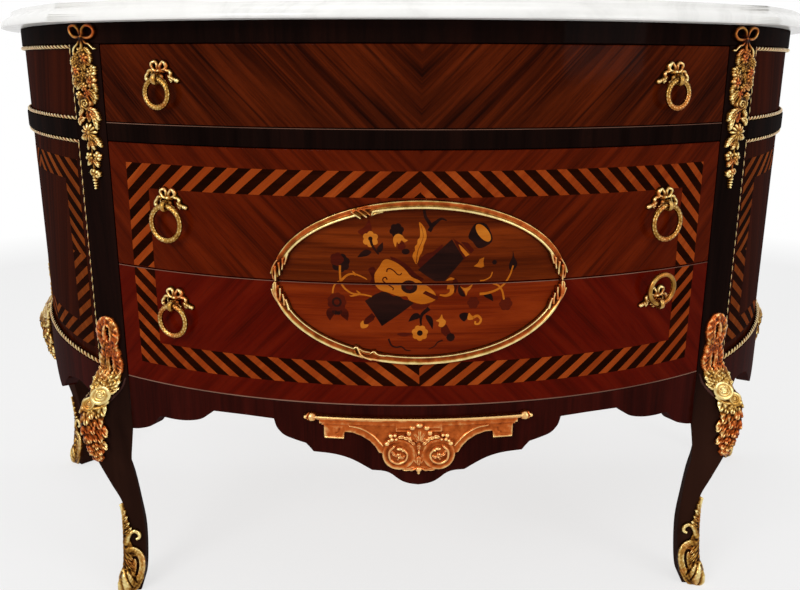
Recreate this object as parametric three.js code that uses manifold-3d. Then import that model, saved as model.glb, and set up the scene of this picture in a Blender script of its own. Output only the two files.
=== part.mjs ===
// Marble-topped commode with a bowed front, swelling sides, three drawers and gilt mounts.
// Millimetres, +Z up, the front towards -Y, left and right as seen from the front.
// The origin is on the floor under the middle of the marble.
import * as THREE from 'three';
import { mergeVertices } from 'three/addons/utils/BufferGeometryUtils.js';
import Module from 'manifold-3d';

const wasm = await Module();
wasm.setup();

// Plan of the case: the bowed front is an arc, and so is each swelling side
const frontRadius = 802;
const drawerOpeningHalf = 431.6; // middle line to the inner edge of a front stile
const stileAcross = 48.4; // a front stile's width along x
const stileSlant = 26.4; // how much further back its outer edge is than its inner edge
const sideRadius = 830;
const sideSpread = 223.1; // how far each side swells out from its front stile to the back
const caseDepth = 596;
const stileDepth = 45;

// Heights of the courses, from the floor up
const apronTop = 358.6;
const bottomDrawerHeight = 174.1;
const middleDrawerHeight = 175.1;
const waistHeight = 25.4;
const topDrawerHeight = 104.1;
const friezeHeight = 27.5;
const marbleThickness = 26;

// Boards and their clearances
const seatGap = 0.3; // between a piece and what carries it
const boardClearance = 1; // between a level board and the curved pieces round it
const drawerGap = 1; // round a drawer front
const seamGap = 0.6; // at the seam between the two lower drawers, above and below
const frontThickness = 22;
const railDepth = 45;
const panelRecess = 7; // side panel behind the stiles and the bands
const panelThickness = 18;
const apronThickness = 22;
const boardThickness = 12;
const runnerThickness = 14;
const runnerBearing = 15; // width of runner under a drawer side
const backThickness = 8;
const backInset = 2;
const sidePanelFoot = 366;
const friezeInset = 3; // at the sides
const marbleOverhang = 27;
const marbleRearOverhang = 6;

// Drawer boxes
const drawerSideInset = 13.6; // stile's inner edge to the outer face of a drawer side
const drawerBoard = 12;
const drawerBottomBoard = 8;
const drawerBottomRise = 8; // drawer side's lower edge to the bottom board
const drawerRearRoom = 36; // drawer back to the back of the case
const drawerHeadroom = 16; // above a drawer side

// Legs
const kneeWidth = 70;
const rearFootInwards = 30; // how far a rear foot stands in from the place of a turned front foot
const rearFootBack = 16;
const rearKneeReach = 11; // how much further a rear knee swells

// Gilt mounts
const garlandDrop = 5.8; // below the marble
const garlandLength = 224;
const garlandWidth = 38;
const garlandPlate = 3.5;
const garlandRelief = 6;
const kneeMountTop = 449;
const kneeMountHeight = 230;
const kneeMountThickness = 6;
const kneeMountEdge = 2.5;
const kneeSlotWidth = 5.5;
const kneeSlotHeight = 21;
const sabotHeight = 146;
const sabotThickness = 5.5;
const sabotEdge = 2.5;
const sabotHoleWidth = 7;
const sabotHoleHeight = 24;
const mountSink = 3; // a mount's blank starts this far inside its carrier and is trimmed off
const beadThickness = 6;
const ropeThickness = 7;
const apronMountTop = 344;
const apronMountHeight = 84;
const apronMountHalf = 150;
const apronMountThickness = 5;
const corniceHeight = 7;
const corniceThickness = 8;
const finialRadius = 5;
const finialReach = 159;
const rosetteX = 36;
const rosetteDrop = 48;
const rosetteRadius = 21;
const rosetteThickness = 9;
const palmetteDrop = 28;
const palmetteRadius = 15;
const ovalHalfWidth = 199;
const ovalHalfHeight = 112;
const ovalFrameWidth = 13;
const ovalFrameThickness = 8;

// Pulls
const pullInset = 93.6; // stile's inner edge to a pull
const topPullDrop = 45; // top of the drawer to the ring's hinge
const middlePullDrop = 82;
const ringWire = 8;
const smallRing = 44; // outer diameters
const largeRing = 55;
const lowRing = 51;
const ringStandOff = 12;
const ringBoreGap = 0.8;
const eyeWall = 2.6;
const bossDiameter = 17;
const bossThickness = 3;
const bowLoop = 12;
const bowStrand = 4.6;
const bowRise = 17;
const bowSpread = 8;
const shortTailX = 22;
const longTailX = 30;
const shortTailDrop = 1;
const longTailDrop = 7;
const knotRise = 7;
const restingLean = THREE.MathUtils.degToRad(4); // of the one ring that is turned up

// Smoothness of the facets
const frontSteps = 20;
const sideSteps = 9;
const legSteps = 13;
const curveSegments = 5;
const mountSteps = 12;
const ringSteps = 16;
const overrun = 10; // how far a cutter reaches past what it cuts

// Levels that follow from the heights
const seamLevel = apronTop + bottomDrawerHeight;
const waistLow = seamLevel + middleDrawerHeight;
const waistHigh = waistLow + waistHeight;
const friezeLow = waistHigh + topDrawerHeight;
const marbleLow = friezeLow + friezeHeight;
const garlandTop = marbleLow - garlandDrop;

// Places and angles that follow from the plan; angles are measured from the middle line
const frontAngle = Math.asin(drawerOpeningHalf / frontRadius);
const sideFrontX = drawerOpeningHalf + stileAcross;
const sideFrontDepth = frontRadius * (1 - Math.cos(frontAngle)) + stileSlant;
const sideChord = new THREE.Vector2(sideSpread, caseDepth - sideFrontDepth);
const sideBow = Math.sqrt(sideRadius ** 2 - sideChord.lengthSq() / 4); // arc's centre to its chord
const sideCentreX = sideFrontX + sideChord.x / 2 - sideBow * sideChord.y / sideChord.length();
const sideCentreDepth = sideFrontDepth + sideChord.y / 2 + sideBow * sideChord.x / sideChord.length();
const sideStart = Math.asin((sideFrontX - sideCentreX) / sideRadius);
const sideEnd = Math.acos((sideCentreDepth - caseDepth) / sideRadius);
const drawerSideX = drawerOpeningHalf - drawerSideInset;
const drawerLength = caseDepth - drawerRearRoom;
const pullX = drawerOpeningHalf - pullInset;
const bottomPullDrop = lowRing - ringWire / 2; // so that a ring turned up stays below the seam

const black = new THREE.MeshStandardMaterial({ color: 0x1c0d0a, roughness: 0.25, metalness: 0 });
const veneer = new THREE.MeshStandardMaterial({ color: 0x5a1e10, roughness: 0.3, metalness: 0 });
const darkVeneer = new THREE.MeshStandardMaterial({ color: 0x33100c, roughness: 0.3, metalness: 0 });
const plainWood = new THREE.MeshStandardMaterial({ color: 0xa9835a, roughness: 0.7, metalness: 0 });
const marble = new THREE.MeshStandardMaterial({ color: 0xeeece8, roughness: 0.25, metalness: 0 });
const gilt = new THREE.MeshStandardMaterial({ color: 0xc99a45, roughness: 0.35, metalness: 1 });
const copperGilt = new THREE.MeshStandardMaterial({ color: 0xc8703a, roughness: 0.4, metalness: 1 });

const commode = new THREE.Group();

// Numbers from one value to another in equal steps, both ends included
function spread(from, to, steps) {
  return Array.from({ length: steps + 1 }, (_, i) => THREE.MathUtils.lerp(from, to, i / steps));
}

function mix(a, b, share) {
  return a.map((value, i) => THREE.MathUtils.lerp(value, b[i], share));
}

function onFront(angle, offset) {
  const reach = frontRadius + offset;
  return [Math.sin(angle) * reach, frontRadius - Math.cos(angle) * reach];
}

function onSide(angle, offset) {
  const reach = sideRadius + offset;
  return [sideCentreX + Math.sin(angle) * reach, sideCentreDepth - Math.cos(angle) * reach];
}

function frontDepthAt(x, offset) {
  return frontRadius - Math.sqrt((frontRadius + offset) ** 2 - x ** 2);
}

// Closed surfaces

// The triangles of a flat cap, in strips from one half of its ring to the other
function capTriangles(count) {
  const triangles = [];
  for (let near = 0, far = count - 1; near + 1 < far; near += 1, far -= 1) {
    triangles.push([near, near + 1, far]);
    if (near + 1 < far - 1) {
      triangles.push([near + 1, far - 1, far]);
    }
  }
  return triangles;
}

function enclosedVolume(points, triangles) {
  return triangles.reduce((sum, corners) => {
    const [a, b, c] = corners.map((corner) => new THREE.Vector3(...points[corner]));
    return sum + a.dot(b.cross(c));
  }, 0);
}

// A solid through a row of rings, each with as many points, with a flat cap at each end
function loft(rings) {
  const count = rings[0].length;
  const points = rings.flat();
  const cap = capTriangles(count);
  const triangles = cap.map(([a, b, c]) => [a, c, b]);
  for (let ring = 0; ring + 1 < rings.length; ring += 1) {
    for (let i = 0; i < count; i += 1) {
      const a = ring * count + i;
      const b = ring * count + ((i + 1) % count);
      triangles.push([a, b, b + count], [a, b + count, a + count]);
    }
  }
  const last = (rings.length - 1) * count;
  triangles.push(...cap.map((corners) => corners.map((corner) => corner + last)));
  const outward = enclosedVolume(points, triangles) > 0;
  const geometry = new THREE.BufferGeometry();
  geometry.setAttribute('position', new THREE.Float32BufferAttribute(points.flat(), 3));
  geometry.setIndex(triangles.flatMap(([a, b, c]) => (outward ? [a, b, c] : [a, c, b])));
  return geometry;
}

function mirrored(geometry) {
  const copy = geometry.clone();
  copy.scale(-1, 1, 1);
  const index = copy.getIndex();
  for (let i = 0; i < index.count; i += 3) {
    const second = index.getX(i + 1);
    index.setX(i + 1, index.getX(i + 2));
    index.setX(i + 2, second);
  }
  return copy;
}

// Joins and cuts

// A closed shape with its shared corners merged
function closed(geometry) {
  geometry.deleteAttribute('normal');
  geometry.deleteAttribute('uv');
  return mergeVertices(geometry);
}

function toSolid(geometry) {
  return new wasm.Manifold(new wasm.Mesh({
    numProp: 3,
    vertProperties: new Float32Array(geometry.getAttribute('position').array),
    triVerts: new Uint32Array(geometry.getIndex().array),
  }));
}

function fromSolid(solid) {
  const mesh = solid.getMesh();
  const geometry = new THREE.BufferGeometry();
  geometry.setAttribute('position', new THREE.BufferAttribute(new Float32Array(mesh.vertProperties), 3));
  geometry.setIndex(new THREE.BufferAttribute(new Uint32Array(mesh.triVerts), 1));
  return geometry;
}

function combine(first, others, method) {
  let result = toSolid(first);
  for (const other of others) {
    result = result[method](toSolid(other));
  }
  return fromSolid(result);
}

// The largest piece of a cut shape
function largest(geometry) {
  const pieces = toSolid(geometry).decompose();
  return fromSolid(pieces.reduce((best, piece) => (piece.volume() > best.volume() ? piece : best)));
}

const join = (first, ...others) => combine(first, others, 'add');
const cut = (first, ...others) => combine(first, others, 'subtract');
const shared = (first, ...others) => combine(first, others, 'intersect');

// Simple shapes

function prism(outline, low, high) {
  return loft([low, high].map((height) => outline.map(([x, y]) => [x, y, height])));
}

function box([x0, x1], [y0, y1], [z0, z1]) {
  return prism([[x0, y0], [x1, y0], [x1, y1], [x0, y1]], z0, z1);
}

function ball([x, y, z], [radiusX, radiusY, radiusZ], around = 8, down = 6) {
  return closed(new THREE.SphereGeometry(1, around, down)).scale(radiusX, radiusY, radiusZ).translate(x, y, z);
}

// A tapering round bar between two points
function bar(from, to, radiusFrom, radiusTo, sides = 4) {
  const start = new THREE.Vector3(...from);
  const way = new THREE.Vector3(...to).sub(start);
  const turn = new THREE.Quaternion().setFromUnitVectors(new THREE.Vector3(0, 1, 0), way.clone().normalize());
  const middle = start.addScaledVector(way, 1 / 2);
  return closed(new THREE.CylinderGeometry(radiusTo, radiusFrom, way.length(), sides))
    .applyQuaternion(turn)
    .translate(middle.x, middle.y, middle.z);
}

// A shape drawn in x and z, standing up and thickened forwards from y to -y
function standing(shape, thickness) {
  return closed(new THREE.ExtrudeGeometry(shape, { depth: thickness, bevelEnabled: false, curveSegments }))
    .rotateX(Math.PI / 2);
}

function drawn(points) {
  return new THREE.Shape(points.map(([x, z]) => new THREE.Vector2(x, z)));
}

const rectangle = (inner, outer, low, high) => [[inner, low], [outer, low], [outer, high], [inner, high]];

// A piece bent round an arc of the plan, its section given as [offset, height] at each angle
function bent(onArc, angles, sectionAt) {
  return loft(angles.map((angle) => sectionAt(angle).map(([offset, height]) => [...onArc(angle, offset), height])));
}

// The outline of the case in plan, moved out or in, from the left rear corner round to the right
function planOutline(frontOffset, sideOffset, back) {
  const end = Math.acos((sideCentreDepth - back) / (sideRadius + sideOffset));
  const right = [
    ...spread(0, frontAngle, frontSteps / 2).map((angle) => onFront(angle, frontOffset)),
    ...spread(sideStart, end, sideSteps).map((angle) => onSide(angle, sideOffset)),
  ];
  const left = right.slice(1).reverse().map(([x, y]) => [-x, y]);
  return [...left, ...right];
}

function add(name, geometry, material, parent = commode) {
  const mesh = new THREE.Mesh(geometry, material);
  mesh.name = name;
  parent.add(mesh);
  return mesh;
}

function addPair(name, geometry, material) {
  add(`${name}_right`, geometry, material);
  add(`${name}_left`, mirrored(geometry), material);
}

// Posts: each is a stile with its cabriole leg

const frontPost = {
  start: onFront(frontAngle, 0),
  end: onSide(sideStart, 0),
  backEnd: onSide(sideStart, -stileDepth),
  backStart: [drawerOpeningHalf, onSide(sideStart, -stileDepth)[1]],
  tuck: [0, 0],
  kneeReach: 0,
};
const stileWidth = Math.hypot(frontPost.end[0] - frontPost.start[0], frontPost.end[1] - frontPost.start[1]);
const rearStile = sideEnd - stileWidth / sideRadius;
const rearPost = {
  start: onSide(rearStile, 0),
  end: onSide(sideEnd, 0),
  backEnd: [onSide(sideEnd, 0)[0] - stileDepth, caseDepth],
  backStart: onSide(rearStile, -stileDepth),
  tuck: [-rearFootInwards, rearFootBack],
  kneeReach: rearKneeReach,
};
const faceAngle = (post) => Math.atan2(post.end[1] - post.start[1], post.end[0] - post.start[0]);

// Height, then the arris outwards and forwards, the width, the inner edge forwards, the depth, how
// much of the width the slanting face takes, how far the inner face leans outwards and how much of
// the knee's reach there is; heights are shares of the height under the case, the lengths after
// them shares of the knee's width
const legShares = [
  [0, -0.229, 0.64, 0.43, 0.62, 0.61, 0.12, 0.05, 0],
  [0.092, -0.314, 0.54, 0.414, 0.52, 0.543, 0.12, 0.05, 0],
  [0.251, -0.329, 0.343, 0.421, 0.314, 0.5, 0.12, 0.08, 0],
  [0.393, -0.3, 0.3, 0.414, 0.286, 0.514, 0.1, 0.14, 0],
  [0.496, -0.086, 0.314, 0.586, 0.3, 0.6, 0.08, 0.2, 0.1],
  [0.6, 0.13, 0.343, 0.73, 0.33, 0.7, 0.08, 0.26, 0.4],
  [0.697, 0.28, 0.386, 0.936, 0.36, 0.8, 0.08, 0.25, 0.8],
  [0.781, 0.343, 0.4, 1.05, 0.371, 0.857, 0.12, 0.23, 1],
  [0.864, 0.3, 0.357, 0.993, 0.376, 0.857, 0.3, 0.2, 0.9],
  [0.948, 0.143, 0.229, 0.836, 0.376, 0.714, 0.62, 0.08, 0.5],
];
const ridgeBulgeShare = 0.2;
const ridgeEndShare = 0.96;
const legSections = new THREE.CubicInterpolant(
  legShares.map(([height]) => height),
  legShares.flatMap(([, ...section]) => section),
  legShares[0].length - 1,
);
const highestLegShare = legShares[legShares.length - 1][0];

// The leg's five corners in plan: inner front, ridge, arris, outer back and inner back
function legRing(post, height) {
  const share = height / apronTop;
  const [reach, forward, across, inner, depth, ridge, lean, bulging] = legSections.evaluate(share);
  const swell = bulging * post.kneeReach / kneeWidth;
  const out = reach + swell;
  const width = across + swell;
  const bulge = ridgeBulgeShare * ridge * (1 - ridge);
  const turn = faceAngle(post) - faceAngle(frontPost);
  const tuck = post.tuck.map((distance) => distance * Math.max(0, 1 - share / highestLegShare));
  return [
    [out - width, inner],
    [out - width * ridge, THREE.MathUtils.lerp(forward, inner, ridge) + bulge],
    [out, forward],
    [out, forward - depth],
    [out - width + lean, forward - depth],
  ].map(([x, y]) => {
    const corner = new THREE.Vector2(x * kneeWidth, -y * kneeWidth).rotateAround(new THREE.Vector2(), turn);
    return [post.end[0] + corner.x + tuck[0], post.end[1] + corner.y + tuck[1]];
  });
}

function stileRing(post) {
  return [post.start, mix(post.end, post.start, ridgeEndShare), post.end, post.backEnd, post.backStart];
}

function postRing(post, height) {
  const legTop = highestLegShare * apronTop;
  if (height <= legTop) {
    return legRing(post, height);
  }
  const share = Math.min(1, (height - legTop) / (sidePanelFoot - legTop));
  const leg = legRing(post, legTop);
  return stileRing(post).map((corner, i) => mix(leg[i], corner, share));
}

// The ring moved outwards by a distance
function grown(ring, distance) {
  return ring.map((corner, i) => {
    const before = ring[(i + ring.length - 1) % ring.length];
    const after = ring[(i + 1) % ring.length];
    const normals = [[before, corner], [corner, after]].map(([a, b]) => {
      return new THREE.Vector2(b[1] - a[1], a[0] - b[0]).normalize();
    });
    const miter = normals[0].clone().add(normals[1]).divideScalar(1 + normals[0].dot(normals[1]));
    return [corner[0] + miter.x * distance, corner[1] + miter.y * distance];
  });
}

function postSolid(post, distance) {
  const heights = [...spread(0, highestLegShare * apronTop, legSteps), sidePanelFoot, friezeLow];
  return loft(heights.map((height) => grown(postRing(post, height), distance).map(([x, y]) => [x, y, height])));
}

const behindCase = box(
  [-2 * sideRadius, 2 * sideRadius],
  [caseDepth, caseDepth + kneeWidth],
  [-overrun, friezeLow + overrun],
);
const frontPostSpace = postSolid(frontPost, seatGap);
const rearPostSpace = postSolid(rearPost, seatGap);
const postSpaces = [frontPostSpace, rearPostSpace, mirrored(frontPostSpace), mirrored(rearPostSpace)];

addPair('post_front', postSolid(frontPost, 0), black);
addPair('post_rear', cut(postSolid(rearPost, 0), behindCase), black);

// Boards of the case

// Steps of the marble's moulded edge: overhang lost and height gained, as shares of its thickness
const marbleEdgeShares = [
  [0.15, 0], [0, 0.1], [0, 0.22], [0.1, 0.4], [0.3, 0.56], [0.55, 0.68], [0.68, 0.78], [0.68, 0.93], [0.76, 1],
];

function marbleSlab() {
  return loft(marbleEdgeShares.map(([lost, gained]) => {
    const offset = marbleOverhang - lost * marbleThickness;
    const back = caseDepth + marbleRearOverhang - lost * marbleThickness / 2;
    return planOutline(offset, offset, back).map(([x, y]) => [x, y, marbleLow + gained * marbleThickness]);
  }));
}

function innerBoard(low, thickness, frontSetback, sideSetback) {
  const back = caseDepth - backInset - backThickness - seatGap;
  return cut(prism(planOutline(-frontSetback, -sideSetback, back), low, low + thickness), ...postSpaces);
}

function runnerFrame() {
  const board = innerBoard(seamLevel - runnerThickness, runnerThickness, railDepth + seatGap,
    panelRecess + panelThickness + boardClearance);
  const windowHalf = drawerSideX - runnerBearing;
  const window = box([-windowHalf, windowHalf], [-overrun, drawerLength],
    [seamLevel - runnerThickness - overrun, seamLevel + overrun]);
  return cut(board, window);
}

function backPanel() {
  const half = rearPost.backStart[0] - seatGap;
  const rear = caseDepth - backInset;
  return box([-half, half], [rear - backThickness, rear], [apronTop - boardThickness, friezeLow]);
}

function frontRail(inner, low, high) {
  const end = frontAngle - seatGap / frontRadius;
  return bent(onFront, spread(-end, end, frontSteps), () => rectangle(inner, 0, low, high));
}

const sideAngles = spread(sideStart + seatGap / sideRadius, rearStile - seatGap / sideRadius, sideSteps);

function sidePanel() {
  const outer = -panelRecess;
  return bent(onSide, sideAngles, () => rectangle(outer - panelThickness, outer, sidePanelFoot, friezeLow));
}

add('marble_top', marbleSlab(), marble);
add('top_frame', prism(planOutline(0, -friezeInset, caseDepth), friezeLow, marbleLow), black);
add('mid_rail', frontRail(-railDepth, waistLow, waistHigh), black);
addPair('side_panel', sidePanel(), veneer);
add('back_panel', backPanel(), plainWood);
add('bottom_board', innerBoard(apronTop - boardThickness, boardThickness, apronThickness + boardClearance,
  apronThickness + boardClearance), plainWood);
add('dust_board', innerBoard(waistHigh - boardThickness, boardThickness, railDepth + seatGap,
  panelRecess + panelThickness + boardClearance), plainWood);
add('runner_frame', runnerFrame(), plainWood);

// Aprons: where along the half front the lower edge turns, and how much of the depth it has there
const apronDepth = 118.6;
const apronShares = [
  [0, 1], [0.03, 0.985], [0.055, 0.949], [0.094, 0.823], [0.143, 0.815], [0.18, 0.73], [0.216, 0.663],
  [0.264, 0.62], [0.325, 0.612], [0.336, 0.56], [0.349, 0.511], [0.385, 0.475], [0.419, 0.435], [0.436, 0.37],
  [0.444, 0.326], [0.45, 0.233], [0.55, 0.222], [0.657, 0.233], [0.68, 0.3], [0.706, 0.376], [0.759, 0.427],
  [0.81, 0.445], [0.869, 0.443], [0.89, 0.52], [0.908, 0.612], [0.969, 0.697], [1, 0.72],
];
const sideApronDepth = 97;
const sideApronShares = [
  [0, 0.62], [0.05, 0.6], [0.09, 0.52], [0.14, 0.46], [0.22, 0.43], [0.28, 0.5], [0.34, 0.56], [0.4, 0.76],
  [0.45, 0.92], [0.5, 1],
];

function frontApron() {
  const halfAngle = frontAngle - seatGap / frontRadius;
  const right = apronShares.map(([along, drop]) => [along * halfAngle, apronTop - drop * apronDepth]);
  const left = right.slice(1).reverse().map(([angle, low]) => [-angle, low]);
  const edge = new Map([...left, ...right]);
  const board = bent(onFront, [...edge.keys()], (angle) => {
    return rectangle(-apronThickness, 0, edge.get(angle), apronTop);
  });
  return cut(board, frontPostSpace, mirrored(frontPostSpace));
}

function sideApron() {
  const first = sideAngles[0];
  const length = sideAngles[sideAngles.length - 1] - first;
  const front = sideApronShares.map(([along, drop]) => [first + along * length, apronTop - drop * sideApronDepth]);
  const rear = sideApronShares.slice(0, -1).reverse()
    .map(([along, drop]) => [first + (1 - along) * length, apronTop - drop * sideApronDepth]);
  const edge = new Map([...front, ...rear]);
  const board = bent(onSide, [...edge.keys()], (angle) => {
    return rectangle(-apronThickness, 0, edge.get(angle), sidePanelFoot);
  });
  return cut(board, frontPostSpace, rearPostSpace);
}

add('apron_front', frontApron(), darkVeneer);
addPair('apron', sideApron(), black);

// The dark band round each side, stopping short of the bead that runs up beside the rear post
function sideBand() {
  const end = rearStile - (ropeThickness + seatGap) / sideRadius;
  return bent(onSide, spread(sideAngles[0], end, sideSteps), () => {
    return rectangle(seatGap - panelRecess, 0, waistLow, waistHigh);
  });
}

addPair('side_band', sideBand(), black);

// Gilt beads: along the frieze, along the band, along the foot of the panel and up its ends
const beadCircleShares = [[0, 0.25], [0.5, 0], [1, 0.25], [1, 0.75], [0.5, 1], [0, 0.75]];

function beadAlong(low, thickness, from, to, steps) {
  const foot = seatGap - panelRecess;
  return bent(onSide, spread(from, to, steps), () => {
    return beadCircleShares.map(([out, up]) => [foot + out * thickness, low + up * thickness]);
  });
}

function beadUp(from, low, high) {
  const foot = seatGap - panelRecess;
  const width = beadThickness / sideRadius;
  const ring = (height) => beadCircleShares.map(([out, across]) => {
    return [...onSide(from + across * width, foot + out * beadThickness), height];
  });
  return loft([ring(low), ring(high)]);
}

function giltBeads() {
  const from = sideAngles[0];
  const to = sideAngles[sideAngles.length - 1];
  const topBead = friezeLow - seatGap - beadThickness;
  const bandTopBead = waistHigh + seatGap;
  const bandFootBead = waistLow - seatGap - beadThickness;
  const footBead = sidePanelFoot + seatGap;
  const width = beadThickness / sideRadius;
  return join(
    beadAlong(topBead, beadThickness, from, to, sideSteps),
    beadAlong(bandTopBead, beadThickness, from, to, sideSteps),
    beadAlong(bandFootBead, beadThickness, from, to, sideSteps),
    beadAlong(footBead, ropeThickness, from, to, sideSteps),
    beadUp(from, bandTopBead + beadThickness / 2, topBead + beadThickness / 2),
    beadUp(from, footBead + ropeThickness / 2, bandFootBead + beadThickness / 2),
    beadUp(to - width, footBead + ropeThickness / 2, topBead + beadThickness / 2),
  );
}

addPair('gilt_bead', giltBeads(), gilt);

// Mounts wrapped round a post

// A point of the post's surface at a distance from the arris, towards the inner edge where it is
// negative, and the way out of the surface there
function onPost(post, height, distance) {
  const [inner, ridge, arris, back] = postRing(post, height).map(([x, y]) => new THREE.Vector2(x, y));
  const outOf = (a, b) => new THREE.Vector2(b.y - a.y, a.x - b.x).normalize();
  const toRidge = ridge.distanceTo(arris);
  if (distance > 0) {
    const way = back.clone().sub(arris).normalize();
    return [arris.clone().addScaledVector(way, distance), outOf(arris, back)];
  }
  if (distance === 0) {
    const miter = outOf(ridge, arris).add(outOf(arris, back));
    return [arris, miter.divideScalar(miter.lengthSq() / 2)];
  }
  if (-distance <= toRidge) {
    const way = ridge.clone().sub(arris).normalize();
    return [arris.clone().addScaledVector(way, -distance), outOf(ridge, arris)];
  }
  const way = inner.clone().sub(ridge).normalize();
  return [ridge.clone().addScaledVector(way, -distance - toRidge), outOf(inner, ridge)];
}

// A skin over the post between two distances from the arris at each height
function skin(post, rows, thickness, edge) {
  const lifts = [edge, (edge + thickness) / 2, thickness, (edge + thickness) / 2, edge];
  return loft(rows.map(([height, from, to]) => {
    const places = from < 0 && to > 0 ? [from, from / 2, 0, to / 2, to] : spread(from, to, lifts.length - 1);
    const at = (place, lift) => {
      const [point, out] = onPost(post, height, place);
      return [point.x + out.x * lift, point.y + out.y * lift, height];
    };
    const outside = places.map((place, i) => at(place, lifts[i] + seatGap));
    const inside = places.map((place) => at(place, -mountSink)).reverse();
    return [...outside, ...inside];
  }));
}

// Height, middle and half width of the knee mount: shares of its height and of the stile's width
const kneeMountShares = [
  [1, -0.5, 0.09], [0.98, -0.5, 0.19], [0.93, -0.5, 0.27], [0.87, -0.5, 0.28], [0.81, -0.5, 0.22],
  [0.77, -0.5, 0.2], [0.72, -0.5, 0.27], [0.66, -0.5, 0.28], [0.6, -0.5, 0.24], [0.56, -0.46, 0.29],
  [0.51, -0.38, 0.33], [0.45, -0.26, 0.36], [0.35, -0.12, 0.38], [0.26, -0.1, 0.36], [0.16, -0.1, 0.28],
  [0.07, -0.08, 0.18], [0, -0.06, 0.06],
];
const kneeSlotShares = [0.9, 0.69];

function kneeMount(post, postSpace) {
  const low = kneeMountTop - kneeMountHeight;
  const rows = kneeMountShares.map(([up, middle, half]) => {
    return [low + up * kneeMountHeight, (middle - half) * stileWidth, (middle + half) * stileWidth];
  });
  const slots = kneeSlotShares.map((up) => {
    const height = low + up * kneeMountHeight;
    const [point] = onPost(post, height, -stileWidth / 2);
    return ball([0, 0, 0], [kneeSlotWidth / 2, kneeMountThickness * 2, kneeSlotHeight / 2])
      .rotateZ(faceAngle(post))
      .translate(point.x, point.y, height);
  });
  return cut(skin(post, rows, kneeMountThickness, kneeMountEdge), postSpace, ...slots);
}

// Height, reach over the front face and over the outer face: shares of the sabot's height and of
// the knee's width
const sabotShares = [
  [1, -0.03, 0.03], [0.9, -0.1, 0.1], [0.78, -0.2, 0.18], [0.7, -0.28, 0.26], [0.62, -0.3, 0.28],
  [0.52, -0.24, 0.24], [0.42, -0.42, 0.38], [0.3, -0.5, 0.46], [0.16, -0.52, 0.5], [0.08, -0.5, 0.5], [0, -0.46, 0.46],
];
const sabotHoleShare = 0.22;
const sabotHoleReachShare = 0.3;

function sabot(post, postSpace) {
  const rows = sabotShares.map(([up, front, side]) => [up * sabotHeight, front * kneeWidth, side * kneeWidth]);
  const height = sabotHoleShare * sabotHeight;
  const [point] = onPost(post, height, -sabotHoleReachShare * kneeWidth);
  const turn = faceAngle(post) - faceAngle(frontPost);
  const hole = ball([0, 0, 0], [sabotHoleWidth / 2, sabotThickness * 2, sabotHoleHeight / 2])
    .rotateZ(turn)
    .translate(point.x, point.y, height);
  return cut(skin(post, rows, sabotThickness, sabotEdge), postSpace, hole);
}

addPair('knee_mount_front', kneeMount(frontPost, frontPostSpace), gilt);
addPair('knee_mount_rear', largest(cut(kneeMount(rearPost, rearPostSpace), behindCase)), gilt);
addPair('sabot_front', sabot(frontPost, frontPostSpace), gilt);
addPair('sabot_rear', largest(cut(sabot(rearPost, rearPostSpace), behindCase)), gilt);

// Garland: a bow and a drop of flowers. Place along it, then half its width there
const garlandEdgeShares = [
  [0, 0.36], [0.03, 0.5], [0.075, 0.46], [0.1, 0.16], [0.13, 0.2], [0.16, 0.44], [0.26, 0.47], [0.38, 0.48],
  [0.46, 0.42], [0.52, 0.34], [0.56, 0.42], [0.62, 0.44], [0.66, 0.33], [0.71, 0.34], [0.75, 0.2], [0.785, 0.12],
  [0.82, 0.27], [0.87, 0.24], [0.9, 0.08], [0.93, 0.17], [0.96, 0.14], [1, 0.04],
];
// Flowers: place along, place across and radius, as shares of the length and of the width
const flowerShares = [
  [0.2, -0.2, 0.24], [0.22, 0.24, 0.22], [0.31, 0.16, 0.26], [0.33, -0.24, 0.22], [0.42, -0.12, 0.26],
  [0.45, 0.22, 0.2], [0.55, 0, 0.28], [0.65, 0.02, 0.3], [0.73, 0.1, 0.17], [0.84, 0, 0.22], [0.94, 0, 0.14],
];
const bowHoleShares = [[0.045, -0.28], [0.045, 0.28]];
const bowHoleWidth = 6;
const bowHoleHeight = 9;

function garland() {
  const height = (along) => garlandTop - along * garlandLength;
  const right = garlandEdgeShares.map(([along, half]) => [half * garlandWidth, height(along)]);
  const left = [...right].reverse().map(([x, z]) => [-x, z]);
  const plate = standing(drawn([...right, ...left]), garlandPlate);
  const flowers = flowerShares.map(([along, across, size]) => {
    return ball([across * garlandWidth, -garlandPlate / 2, height(along)],
      [size * garlandWidth, garlandRelief - garlandPlate / 2, size * garlandWidth], 7, 5);
  });
  const holes = bowHoleShares.map(([along, across]) => {
    return ball([across * garlandWidth, 0, height(along)], [bowHoleWidth / 2, garlandRelief, bowHoleHeight / 2]);
  });
  const inside = box([-garlandWidth, garlandWidth], [0, garlandRelief + overrun],
    [height(1) - overrun, height(0) + overrun]);
  const middle = mix(frontPost.start, frontPost.end, 1 / 2);
  return cut(join(plate, ...flowers), inside, ...holes)
    .translate(0, -seatGap, 0)
    .rotateZ(faceAngle(frontPost))
    .translate(middle[0], middle[1], 0);
}

addPair('garland', garland(), gilt);

// Mounts on the bowed front

// What a shape drawn in x and z keeps between two distances in front of the bow
function onBow(shape, half, inner, outer, low, high) {
  const angle = Math.asin((half + overrun) / frontRadius);
  const shell = bent(onFront, spread(-angle, angle, mountSteps), () => rectangle(inner, outer, low, high));
  const sag = frontDepthAt(half + overrun, 0);
  const blank = standing(shape, sag + outer + 2 * overrun).translate(0, sag + overrun, 0);
  return shared(blank, shell);
}

const apronMountShares = [
  [0.9, 0.1], [0.87, 0.26], [0.84, 0.3], [0.84, 0.4], [0.7, 0.4], [0.69, 0.3], [0.6, 0.31], [0.48, 0.4],
  [0.41, 0.56], [0.39, 0.63], [0.37, 0.75], [0.28, 0.87], [0.14, 0.92], [0.05, 0.91], [0, 1],
];

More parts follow.
